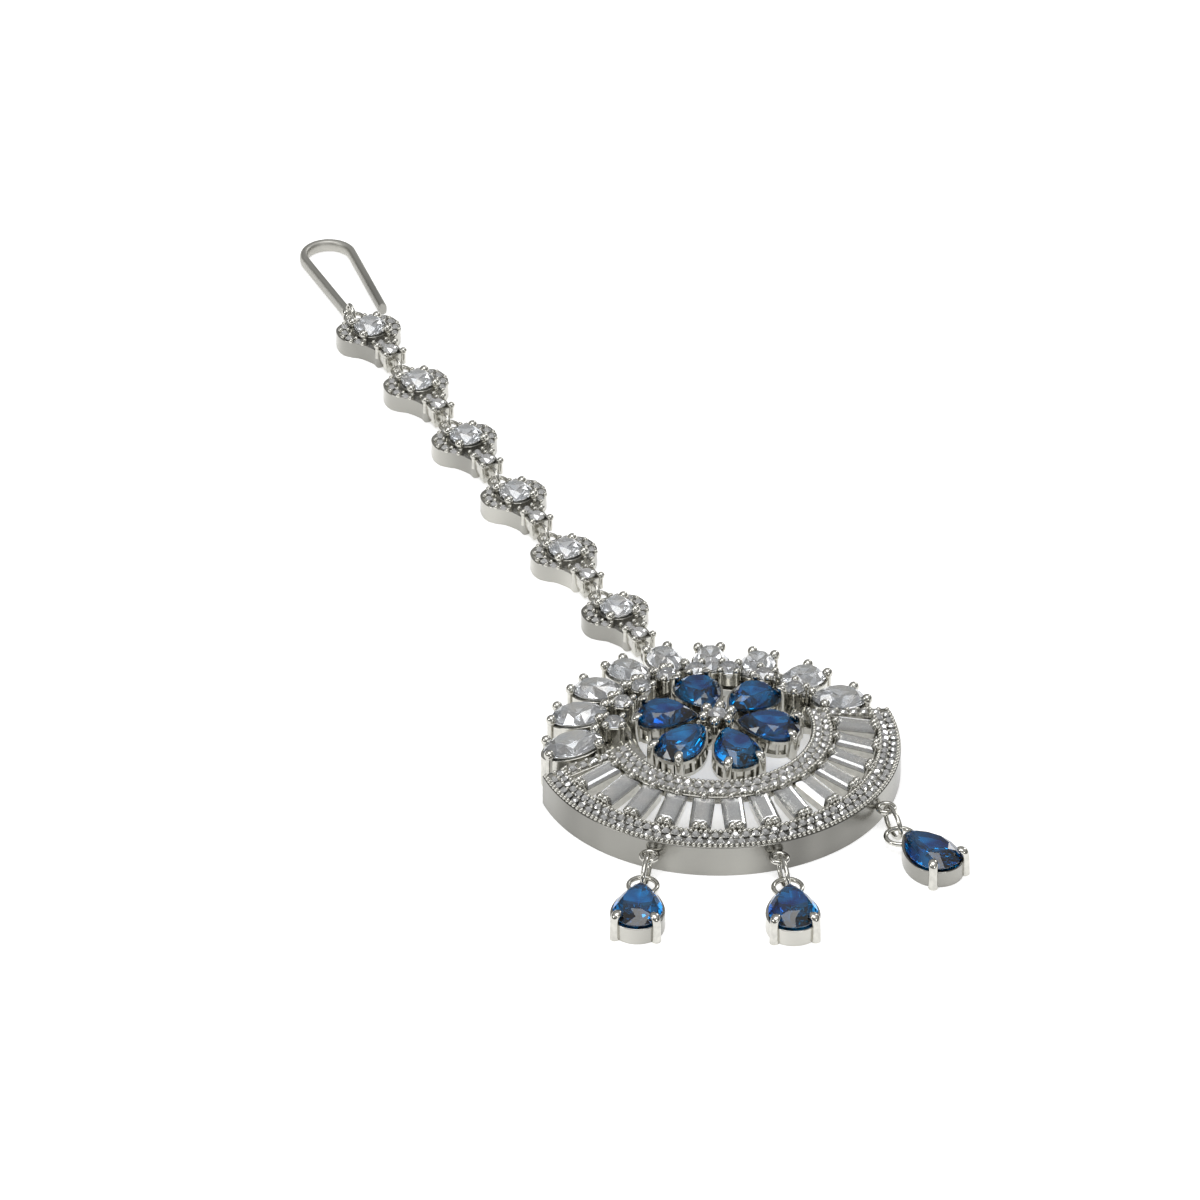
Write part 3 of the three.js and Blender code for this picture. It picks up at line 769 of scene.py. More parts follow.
def named_material(name, build):
    """A material by its name; its nodes are built the first time that it is asked for."""
    material = bpy.data.materials.get(name)
    if material is None:
        material = bpy.data.materials.new(name)
        material.use_nodes = True
        tree = material.node_tree
        build(tree.nodes, tree.links, tree.nodes["Principled BSDF"])
    return material


def object_noise(nodes, links, scale, detail):
    """Noise on object coordinates; the scale is in cycles a millimetre along each axis."""
    place = nodes.new("ShaderNodeTexCoord")
    mapping = nodes.new("ShaderNodeMapping")
    mapping.inputs["Scale"].default_value = [axis / MM for axis in scale]
    noise = nodes.new("ShaderNodeTexNoise")
    noise.inputs["Scale"].default_value = 1.0
    noise.inputs["Detail"].default_value = detail
    links.new(place.outputs["Object"], mapping.inputs["Vector"])
    links.new(mapping.outputs["Vector"], noise.inputs["Vector"])
    return noise.outputs["Fac"]


def tone(nodes, links, factor, dark, light, low=0.35, high=0.65):
    ramp = nodes.new("ShaderNodeValToRGB")
    ramp.color_ramp.elements[0].position = low
    ramp.color_ramp.elements[0].color = (*dark, 1.0)
    ramp.color_ramp.elements[1].position = high
    ramp.color_ramp.elements[1].color = (*light, 1.0)
    links.new(factor, ramp.inputs["Fac"])
    return ramp.outputs["Color"]


def spread(nodes, links, factor, low, high):
    span = nodes.new("ShaderNodeMapRange")
    span.inputs["To Min"].default_value = low
    span.inputs["To Max"].default_value = high
    links.new(factor, span.inputs["Value"])
    return span.outputs["Result"]


def relief(nodes, links, factor, shader, strength, depth):
    bump = nodes.new("ShaderNodeBump")
    bump.inputs["Strength"].default_value = strength
    bump.inputs["Distance"].default_value = depth * MM
    links.new(factor, bump.inputs["Height"])
    links.new(bump.outputs["Normal"], shader.inputs["Normal"])


def brushed(name, dark_share, light_share, smooth=0.16, dull=0.28):
    """Plain walls: fine upright brushing under soft cloudy dark and light tones, which are painted
    reflections.
    """
    def build(nodes, links, shader):
        metal = bpy.context.scene.tikka_finishes.metal
        light = [light_share * part for part in metal]
        dark = [dark_share * part for part in metal]
        # Cloudy dark and light tones in the base colour: painted reflections of the surroundings,
        # placed at random.
        painted_reflection_clouds = object_noise(nodes, links, (0.1, 0.1, 0.03), detail=1.5)
        links.new(tone(nodes, links, painted_reflection_clouds, dark, light), shader.inputs["Base Color"])
        brush = object_noise(nodes, links, (9.0, 9.0, 0.35), detail=4.0)
        links.new(spread(nodes, links, brush, smooth, dull), shader.inputs["Roughness"])
        relief(nodes, links, brush, shader, 0.05, 0.01)
        shader.inputs["Metallic"].default_value = 1.0
    return named_material(name, build)


def band_rhodium():
    # The band's low dark share gives the strongest painted reflections.
    return brushed("band_rhodium", 0.21, 0.58)


def plate_rhodium():
    return brushed("plate_rhodium", 0.48, 0.92)


def wire_rhodium():
    return brushed("wire_rhodium", 0.6, 0.8, smooth=0.4, dull=0.55)


def polished_rhodium():
    """Claws, beads, galleries and wire: bright, with the faint waviness of cast metal."""
    def build(nodes, links, shader):
        metal = bpy.context.scene.tikka_finishes.metal
        dark = [0.84 * part for part in metal]
        grain = object_noise(nodes, links, (2.2, 2.2, 2.2), detail=3.0)
        links.new(tone(nodes, links, grain, dark, metal), shader.inputs["Base Color"])
        links.new(spread(nodes, links, grain, 0.06, 0.24), shader.inputs["Roughness"])
        relief(nodes, links, grain, shader, 0.3, 0.05)
        shader.inputs["Metallic"].default_value = 1.0
    return named_material("polished_rhodium", build)


def stone_material(name, dark, light, ior, cell, clearness=1.0, sparkle=0.0):
    """A cut stone whose colour changes from one small zone to the next: a faint tint in the clear
    stones, painted facet flashes in the blue ones.
    """
    def build(nodes, links, shader):
        # Zones of colour: a tint, and on the blue stones painted facet flashes over the body colour.
        tint_and_flash_zones = object_noise(nodes, links, (cell, cell, cell), detail=1.5)
        links.new(tone(nodes, links, tint_and_flash_zones, dark, light), shader.inputs["Base Color"])
        wear = object_noise(nodes, links, (5.0, 5.0, 5.0), detail=2.0)
        links.new(spread(nodes, links, wear, 0.0, 0.03), shader.inputs["Roughness"])
        shader.inputs["Transmission Weight"].default_value = clearness
        shader.inputs["IOR"].default_value = ior
        shader.inputs["Metallic"].default_value = sparkle
    return named_material(name, build)


def clear_stone():
    cool = bpy.context.scene.tikka_finishes.clear
    warm = (0.97, 0.96, 0.95)
    return stone_material(
        "clear_cut", cool, warm, ior=1.9, cell=0.9, clearness=0.86, sparkle=0.15)


def step_cut_stone():
    """The baguettes, whose long facets look paler."""
    return stone_material(
        "step_cut", (0.93, 0.95, 0.98), WHITE, ior=1.65, cell=0.7, clearness=0.86, sparkle=0.3)


def small_stone():
    """Tiny clear stones, whose pale backs show through."""
    return stone_material(
        "small_cut", (0.93, 0.93, 0.93), WHITE, ior=2.0, cell=1.6, clearness=0.7, sparkle=0.45)


def blue_stone():
    finish = bpy.context.scene.tikka_finishes
    # Deep and bright blue zones: the blue body colour with painted facet flashes.
    return stone_material("blue_cut", finish.blue_deep, finish.blue_bright, ior=1.76, cell=0.45)


# Panel's values

def length(name, description, size):
    """A length of the panel, given here in millimetres and kept in metres."""
    return FloatProperty(
        name=name, description=description, default=size * MM, min=0.0,
        subtype="DISTANCE", unit="LENGTH", precision=5)


def colour(name, description, value):
    return FloatVectorProperty(
        name=name, description=description, default=value, size=3, min=0.0, max=1.0,
        subtype="COLOR")


class TikkaSizes(bpy.types.PropertyGroup):
    """Sizes of the fine work that the solids leave out."""

    pave_radius: length("Small stone", "Half the width of the rings' small stones", 0.41)
    pave_pitch: length("Small stone spacing", "From one small stone to the next in a row", 1.0)
    bead_radius: length("Bead", "Half the width of the beads between the small stones", 0.25)
    claw_radius: length("Claw", "Half the width of a stone's claws", 0.34)
    edge_rounding: length("Edge rounding", "Rounding of the metal's edges", 0.06)


class TikkaFinishes(bpy.types.PropertyGroup):
    """Colours of the metal and the stones."""

    metal: colour("Metal", "Rhodium plate at its lightest", (0.62, 0.61, 0.565))
    clear: colour("Clear stone", "Clear stones where they are coolest", (0.9, 0.94, 1.0))
    # Deep blue and bright blue are the two ends of the blue stones' zones; the bright end paints
    # facet flashes.
    blue_deep: colour("Deep blue", "Blue stones at their deepest", (0.0, 0.02, 0.15))
    blue_bright: colour("Bright blue", "Blue stones at their brightest", (0.0, 0.27, 0.68))


class TikkaStudio(bpy.types.PropertyGroup):
    """Strengths of the studio's light."""

    key_power: FloatProperty(
        name="Main light", description="Power of the wide light overhead", default=3.7,
        min=0.0, unit="POWER")
    side_power: FloatProperty(
        name="Side lights", description="Power of each light beside the jewel", default=1.15,
        min=0.0, unit="POWER")
    room_strength: FloatProperty(
        name="Room", description="Brightness of the room round the table", default=0.5, min=0.0)
    table_glow: FloatProperty(
        name="Table glow", description="Light that comes up through the table", default=0.46, min=0.0)


class TikkaOperator:
    """What the building operators share."""

    bl_options = {"REGISTER", "UNDO"}

    def size(self, name):
        """A length of the panel in the millimetres that the shapes are made in."""
        return getattr(bpy.context.scene.tikka_sizes, name) / MM


class TIKKA_OT_stage(TikkaOperator, bpy.types.Operator):
    """Make the pale table, the soft lights and the photograph's camera"""

    bl_idname = "tikka.stage"
    bl_label = "Stage"

    def execute(self, context):
        studio = context.scene.tikka_studio
        context.scene.view_settings.view_transform = "Standard"
        self.floor(studio.table_glow)
        self.room(context, studio.room_strength)
        for name, position, width, power, share in LAMPS:
            self.lamp(context, name, position, width, share * getattr(studio, power))
        self.camera(context)
        return {"FINISHED"}

    def floor(self, glow):
        """A white photographer's table that is lit from below as well as from above."""
        def build(nodes, links, shader):
            mottle = object_noise(nodes, links, (0.004, 0.004, 0.004), detail=2.0)
            shade = tone(nodes, links, mottle, (0.93, 0.93, 0.93), (0.96, 0.96, 0.96))
            links.new(shade, shader.inputs["Base Color"])
            shader.inputs["Roughness"].default_value = 0.9
            shader.inputs["Specular IOR Level"].default_value = 0.1
            shader.inputs["Emission Color"].default_value = (*WHITE, 1.0)
            shader.inputs["Emission Strength"].default_value = glow
        bm = bmesh.new()
        bmesh.ops.create_grid(bm, x_segments=4, y_segments=4, size=TABLE_HALF_WIDTH)
        mesh = bpy.data.meshes.new("table_top")
        bm.to_mesh(mesh)
        bm.free()
        mesh.materials.append(named_material("pale_table", build))
        table = bpy.data.objects.new("table_top", mesh)
        bpy.context.scene.collection.objects.link(table)

    def room(self, context, strength):
        """A room that is bright above and darker near the table's edge."""
        world = bpy.data.worlds.new("soft_room")
        world.use_nodes = True
        nodes, links = world.node_tree.nodes, world.node_tree.links
        place = nodes.new("ShaderNodeTexCoord")
        split = nodes.new("ShaderNodeSeparateXYZ")
        links.new(place.outputs["Generated"], split.inputs["Vector"])
        shade = tone(nodes, links, split.outputs["Z"], (0.2, 0.2, 0.17), WHITE, 0.1, 0.75)
        links.new(shade, nodes["Background"].inputs["Color"])
        nodes["Background"].inputs["Strength"].default_value = strength
        context.scene.world = world

    def lamp(self, context, name, position, width, power):
        light = bpy.data.lights.new(name, "AREA")
        light.shape = "DISK"
        light.size = width
        light.energy = power
        lamp = bpy.data.objects.new(name, light)
        lamp.location = position
        lamp.rotation_euler = (-Vector(position)).to_track_quat("-Z", "Y").to_euler()
        context.scene.collection.objects.link(lamp)

    def camera(self, context):
        away = Vector((
            math.sin(CAMERA_BEARING) * math.cos(CAMERA_HEIGHT_ANGLE),
            -math.cos(CAMERA_BEARING) * math.cos(CAMERA_HEIGHT_ANGLE),
            math.sin(CAMERA_HEIGHT_ANGLE),
        ))
        target = Vector(CAMERA_TARGET)
        data = bpy.data.cameras.new("photo_camera")
        data.lens = CAMERA_LENS
        data.sensor_width = 36.0
        data.clip_end = 20.0
        camera = bpy.data.objects.new("photo_camera", data)
        camera.location = PENDANT_PLACE @ (target + CAMERA_DISTANCE * away)
        camera.rotation_euler = (-away).to_track_quat("-Z", "Y").to_euler()
        context.scene.collection.objects.link(camera)
        context.scene.camera = camera


class TIKKA_OT_crescent(TikkaOperator, bpy.types.Operator):
    """Make the crescent's plain band, its two stone-set rings and its end bars"""

    bl_idname = "tikka.crescent"
    bl_label = "Crescent"

    def execute(self, context):
        rounding = self.size("edge_rounding")
        inside = BAND_RADIUS - BAND_WALL
        start = -math.pi / 2 - CRESCENT_HALF_ANGLE
        sweep = 2 * CRESCENT_HALF_ANGLE
        bm = bmesh.new()
        swept(bm, (
            (inside, 0.0),
            (BAND_RADIUS, 0.0),
            (BAND_RADIUS, BAND_HEIGHT),
            (CRESCENT_OUTER, dome_height(CRESCENT_OUTER)),
            (CRESCENT_OUTER, dome_height(CRESCENT_OUTER) - RING_THICKNESS),
            (inside, dome_height(inside) - RING_THICKNESS),
        ), start, sweep, RING_STEPS)
        metal_piece(bm, "crescent_band", FRAME_NODE, 35, rounding, band_rhodium())
        bm = bmesh.new()
        section = dome_slab(INNER_RING_RADIUS, CRESCENT_INNER, RING_THICKNESS)
        swept(bm, section, start, sweep, RING_STEPS)
        self.end_bars(bm)
        metal_piece(bm, "inner_ring", FRAME_NODE, 35, rounding)
        return {"FINISHED"}

    def end_bars(self, bm):
        near = INNER_RING_RADIUS
        far = BAND_RADIUS - BAND_WALL / 2
        for side in (1, -1):
            reach = (near + far) / 2
            bearing = math.pi - side * (CRESCENT_HALF_ANGLE - END_BAR_WIDTH / 2 / reach)
            size = Matrix.Diagonal((END_BAR_WIDTH, far - near, RING_THICKNESS, 1.0))
            lowered = at(0, 0, -RING_THICKNESS / 2)
            bmesh.ops.create_cube(bm, size=1.0, matrix=on_dome(bearing, reach) @ lowered @ size)


class TIKKA_OT_pave(TikkaOperator, bpy.types.Operator):
    """Set the small stones and beads of the crescent's rings and end bars"""

    bl_idname = "tikka.pave"
    bl_label = "Small stones and beads"

    def execute(self, context):
        self.rng = random.Random(SETTING_SEED)
        stones, beads = self.places()
        shape = cut_stone(round_outline(self.size("pave_radius")), small_levels(*PAVE_CUT))
        stone_piece("ring_stones", shape, stones, small_stone())
        metal_piece(filled(bead(self.size("bead_radius")), beads), "ring_beads", sharp=80)
        return {"FINISHED"}

    def places(self):
        stones, beads = [], []
        pitch = self.size("pave_pitch")
        edge = self.size("bead_radius") + ROW_MARGIN
        for near, far in ((CRESCENT_OUTER, BAND_RADIUS), (INNER_RING_RADIUS, CRESCENT_INNER)):
            self.rows(stones, beads, near + edge, far - edge, pitch)
        for side in (1, -1):
            self.bar(stones, beads, side, pitch)
        return stones, beads

    def rows(self, stones, beads, near, far, pitch):
        """Two rows of stones, a half step from each other, with beads between and beside them."""
        half = CRESCENT_HALF_ANGLE - ROW_MARGIN
        count = round(2 * half * (near + far) / 2 / pitch)
        step = 2 * half / count
        for row, share in enumerate(STONE_ROWS):
            for i in range(count - row):
                bearing = math.pi - half + (i + 0.5 + row / 2) * step
                stones.append(self.jitter(bearing, near + share * (far - near), STONE_LIFT))
        for row, share in enumerate(BEAD_ROWS):
            for i in range(2 * count + 1):
                if row == 1 and i % 2:
                    continue
                bearing = math.pi - half + i * step / 2
                beads.append(self.jitter(bearing, near + share * (far - near), BEAD_LIFT))

    def bar(self, stones, beads, side, pitch):
        """One row of stones along an end bar, with a bead beside each gap."""
        span = CRESCENT_OUTER - CRESCENT_INNER
        half_bar = END_BAR_WIDTH / 2
        count = round(span / pitch)
        for i in range(count + 1):
            reach = CRESCENT_INNER + i * span / count
            for across in (-0.5, 0.5):
                bearing = math.pi - side * (CRESCENT_HALF_ANGLE - (half_bar + across) / reach)
                beads.append(self.jitter(bearing, reach, BAR_BEAD_LIFT))
            if i < count:
                reach += span / count / 2
                bearing = math.pi - side * (CRESCENT_HALF_ANGLE - half_bar / reach)
                stones.append(self.jitter(bearing, reach, BAR_STONE_LIFT))

    def jitter(self, bearing, reach, lift):
        """Hand setting leaves each stone and bead a little off its mark."""
        off = self.rng.uniform(-SETTING_DRIFT, SETTING_DRIFT)
        turn = Matrix.Rotation(self.rng.uniform(0, math.pi), 4, "Z")
        tilt = Matrix.Rotation(self.rng.uniform(-STONE_TILT, STONE_TILT), 4, "X")
        return on_dome(bearing + off / reach, reach, lift) @ turn @ tilt


class TIKKA_OT_baguettes(TikkaOperator, bpy.types.Operator):
    """Make the crescent's baguettes and the open boxes that hold them"""

    bl_idname = "tikka.baguettes"
    bl_label = "Baguettes"

    def execute(self, context):
        stone = step_stone()
        places = [baguette_place(i) for i in range(BAGUETTE_COUNT)]
        for i, place in enumerate(places, 1):
            stone_piece(f"baguette_stone_{i}", stone, [place], step_cut_stone(), [f"baguette_{i}"])
        metal_piece(filled(template(self.box), places), "baguette_boxes", FRAME_NODE, 35)
        radius = self.size("claw_radius")
        outer, inner = (ball_claw(stem * radius, ball * radius, foot, top)
                        for stem, ball, foot, top in (OUTER_CLAW, INNER_CLAW))
        bm = bmesh.new()
        for place in places:
            for side in (-radius, radius):
                scatter(bm, outer, [place @ at(side, BAGUETTE_HALF_LENGTH + OUTER_CLAW_OUT)])
            scatter(bm, inner, [place @ at(0, -BAGUETTE_HALF_LENGTH - INNER_CLAW_OUT)])
        metal_piece(bm, "baguette_claws", FRAME_NODE)
        return {"FINISHED"}

    def box(self, bm):
        """A thin open box that narrows downwards, its corners bevelled."""
        wide, long = BOX_FOOT
        foot = (BAGUETTE_HALF_WIDTH * wide, BAGUETTE_HALF_LENGTH * long, 1.0, 1.0)
        floor = bmesh.ops.create_grid(
            bm, x_segments=1, y_segments=1, size=1.0,
            matrix=at(0, 0, BOX_BOTTOM) @ Matrix.Diagonal(foot))
        faces = list({face for vert in floor["verts"] for face in vert.link_faces})
        bmesh.ops.inset_region(bm, faces=faces, thickness=BOX_WALL)
        inner = [face for face in bm.faces if all(not e.is_boundary for e in face.edges)]
        bmesh.ops.delete(bm, geom=inner, context="FACES_ONLY")
        lifted = raised(bm, list(bm.faces), BOX_TOP - BOX_BOTTOM)
        bmesh.ops.scale(bm, vec=BOX_SPREAD, verts=lifted)
        bmesh.ops.recalc_face_normals(bm, faces=bm.faces)
        bmesh.ops.bevel(
            bm, geom=list(bm.edges), offset=BOX_BEVEL, offset_type="OFFSET", segments=1,
            affect="EDGES", profile=0.5, material=-1)


class TIKKA_OT_arch(TikkaOperator, bpy.types.Operator):
    """Make the arch's oval stones, their tall walls and their claws"""

    bl_idname = "tikka.arch"
    bl_label = "Arch"

    def execute(self, context):
        walls = bmesh.new()
        claws = bmesh.new()
        stem, ball = (share * self.size("claw_radius") for share in ARCH_CLAW_SHARES)
        out, angles = ARCH_CLAWS
        levels = brilliant_levels(OVAL_CROWN, OVAL_DEPTH)
        fall = OVAL_HALF_LENGTH * math.tan(DOME_SLOPE)
        for i, (bearing, reach, width, girdle) in enumerate(arch_places(), 1):
            outline = oval_outline(OVAL_HALF_WIDTH * width, OVAL_HALF_LENGTH)
            stone_piece(f"oval_stone_{i}", cut_stone(outline, levels),
                        [station(bearing, reach, girdle, -DOME_SLOPE)],
                        clear_stone(), [f"arch_stone_{i}"])
            seat = girdle - ARCH_SEAT
            self.setting(walls, outline, bearing, reach, seat, fall)
            for angle in angles:
                drop = math.cos(math.radians(angle)) * fall
                claw_top = girdle + OVAL_CROWN * CLAW_HEIGHT_SHARE - drop
                shape = ball_claw(stem, ball, seat - ARCH_CLAW_DEPTH, claw_top)
                scatter(claws, shape, [station(bearing, reach) @ place_on(outline, angle, out)])
        metal_piece(walls, "arch_settings", FRAME_NODE, 35, self.size("edge_rounding"))
        metal_piece(claws, "arch_claws", FRAME_NODE)
        return {"FINISHED"}

    def setting(self, bm, outline, bearing, reach, seat, fall):
        """A wall from the table to the stone, cut on the slope of the dome."""
        def build(shape):
            wall(shape, outline, 40, *ARCH_WALL, 0.0, 1.0)
            for vert in shape.verts:
                lean = vert.co.y / OVAL_HALF_LENGTH * fall
                vert.co.z *= seat - ARCH_WALL_DROP - lean
        scatter(bm, template(build), [station(bearing, reach)])


class TIKKA_OT_rail(TikkaOperator, bpy.types.Operator):
    """Make the rail inside the arch and the small round stones on it"""

    bl_idname = "tikka.rail"
    bl_label = "Rail"

    def execute(self, context):
        half = math.pi - CRESCENT_HALF_ANGLE + END_BAR_WIDTH / RAIL_INNER
        base = dome_height(SMALL_ROUND_REACH) - RAIL_DROP
        places = [station(math.radians(bearing), SMALL_ROUND_REACH, base)
                  for bearing in SMALL_ROUND_BEARINGS]
        outline = round_outline(SMALL_ROUND_RADIUS)

        def collar(shape):
            wall(shape, outline, 24, *COLLAR_WALL, COLLAR_FOOT, SMALL_ROUND_RISE - COLLAR_DROP)
        bm = bmesh.new()
        section = dome_slab(RAIL_INNER, RAIL_OUTER, RAIL_THICKNESS, RAIL_DROP)
        swept(bm, section, math.pi / 2 - half, 2 * half, RING_STEPS)
        scatter(bm, template(collar), places)
        metal_piece(bm, "arch_rail", FRAME_NODE, 35, self.size("edge_rounding"))
        stone = cut_stone(outline, brilliant_levels(*RAIL_STONE_CUT))
        stone_piece("rail_stones", stone, [place @ at(0, 0, SMALL_ROUND_RISE) for place in places],
                    clear_stone())
        bm = bmesh.new()
        add_claws(bm, ball_claw(*RAIL_CLAW), places, outline, *RAIL_CLAWS)
        metal_piece(bm, "rail_claws")
        return {"FINISHED"}


class TIKKA_OT_flower(TikkaOperator, bpy.types.Operator):
    """Make the flower's pear stones, their galleries and claws, and its centre"""

    bl_idname = "tikka.flower"
    bl_label = "Flower"

    def execute(self, context):
        outline = pear_outline(PETAL_HALF_WIDTH, PETAL_HALF_LENGTH)
        places = [petal_place(i) for i in range(PETAL_COUNT)]
        levels = brilliant_levels(PETAL_CROWN, PETAL_DEPTH, PEAR_CORNERS, PEAR_TABLE)
        stone = cut_stone(outline, levels)
        for i, place in enumerate(places, 1):
            stone_piece(f"petal_stone_{i}", stone, [place], blue_stone(), [f"petal_{i}"])
        bm = filled(self.gallery(outline), places)
        loft(bm, [disc(*level) for level in HUB_LEVELS], 36)
        metal_piece(bm, "flower_galleries", FRAME_NODE, 35)
        bm = bmesh.new()
        radius = self.size("claw_radius") * PETAL_CLAW_SHARE
        bent = claw(radius, -GALLERY_DROP, PETAL_CROWN * CLAW_HEIGHT_SHARE)
        add_claws(bm, bent, places, outline, *PETAL_CLAWS)
        metal_piece(bm, "flower_claws", FRAME_NODE, 60)
        self.centre()
        return {"FINISHED"}

    def gallery(self, outline):
        """A pear stone's gallery: two bright rails with upright ribs between them."""
        def rib(shape):
            loft(shape, [disc(*level) for level in GALLERY_RIB], 8)

        def build(shape):
            for levels in GALLERY_WALLS:
                wall(shape, outline, 48, *levels)
            rod = template(rib)
            for i in range(GALLERY_RIBS):
                angle = RIB_START + RIB_SPREAD * i / (GALLERY_RIBS - 1)
                scatter(shape, rod, [place_on(outline, angle, 0.0)])
        return template(build)

    def centre(self):
        outline = round_outline(CENTRE_STONE_RADIUS)
        stone = cut_stone(outline, brilliant_levels(*CENTRE_STONE_CUT))
        stone_piece("centre_stone", stone, [at(0, 0, CENTRE_TOP - CENTRE_STONE_DROP)],
                    clear_stone())
        places = [station((i + 0.5) * 2 * math.pi / PETAL_COUNT, CENTRE_CLAW_REACH)
                  for i in range(PETAL_COUNT)]
        metal_piece(filled(ball_claw(*CENTRE_CLAW), places), "centre_claws", FRAME_NODE, 60)


class TIKKA_OT_drops(TikkaOperator, bpy.types.Operator):
    """Make the ears on the band, the jump rings and the three blue drops"""

    bl_idname = "tikka.drops"
    bl_label = "Drops"

    def execute(self, context):
        outline = pear_outline(DROP_HALF_WIDTH, DROP_HALF_LENGTH)
        levels = brilliant_levels(DROP_CROWN, DROP_DEPTH, PEAR_CORNERS, PEAR_TABLE)
        stone = cut_stone(outline, levels)
        to_stone = at(0, -(DROP_TIP_GAP + DROP_HALF_LENGTH))
        ears = bmesh.new()
        for i, (bearing, _, _) in enumerate(DROP_LAYS):
            ear = station(math.radians(bearing), BAND_RADIUS + EAR_REACH, EAR_HEIGHT)
            wire_ring(ears, EAR_RADIUS, EAR_RADIUS, JUMP_WIRE_RADIUS, ear)
            ring, eye = drop_places(i)
            bm = bmesh.new()
            wire_ring(bm, JUMP_RING_HALF_HEIGHT, JUMP_RING_HALF_LENGTH, JUMP_WIRE_RADIUS,
                      ring @ UPRIGHT, steps=36)
            metal_piece(bm, f"drop_ring_{i + 1}", [f"jump_ring_{i + 1}"], 60)
            middle_of_stone = eye @ to_stone
            stone_piece(f"drop_pear_{i + 1}", stone, [middle_of_stone @ at(0, 0, DROP_GIRDLE)],
                        blue_stone(), [f"drop_stone_{i + 1}"])
            self.setting(i + 1, outline, eye, middle_of_stone)
        metal_piece(ears, "band_ears", FRAME_NODE, 60)
        return {"FINISHED"}

    def setting(self, number, outline, eye, middle_of_stone):
        def build(shape):
            wall(shape, outline, 48, *DROP_WALL, 0.0, DROP_GIRDLE - DROP_SEAT)
        bm = filled(template(build), [middle_of_stone])
        metal_piece(bm, f"drop_gallery_{number}", [f"drop_setting_{number}"], 50,
                    self.size("edge_rounding"), plate_rhodium())
        bm = bmesh.new()
        bent = claw(DROP_CLAW, 0.0, DROP_GIRDLE + DROP_CROWN * CLAW_HEIGHT_SHARE)
        add_claws(bm, bent, [middle_of_stone], outline, *DROP_CLAWS)
        wire_ring(bm, EYE_RADIUS, EYE_RADIUS, JUMP_WIRE_RADIUS, eye @ at(0, 0, EYE_HEIGHT))
        metal_piece(bm, f"drop_claws_{number}")


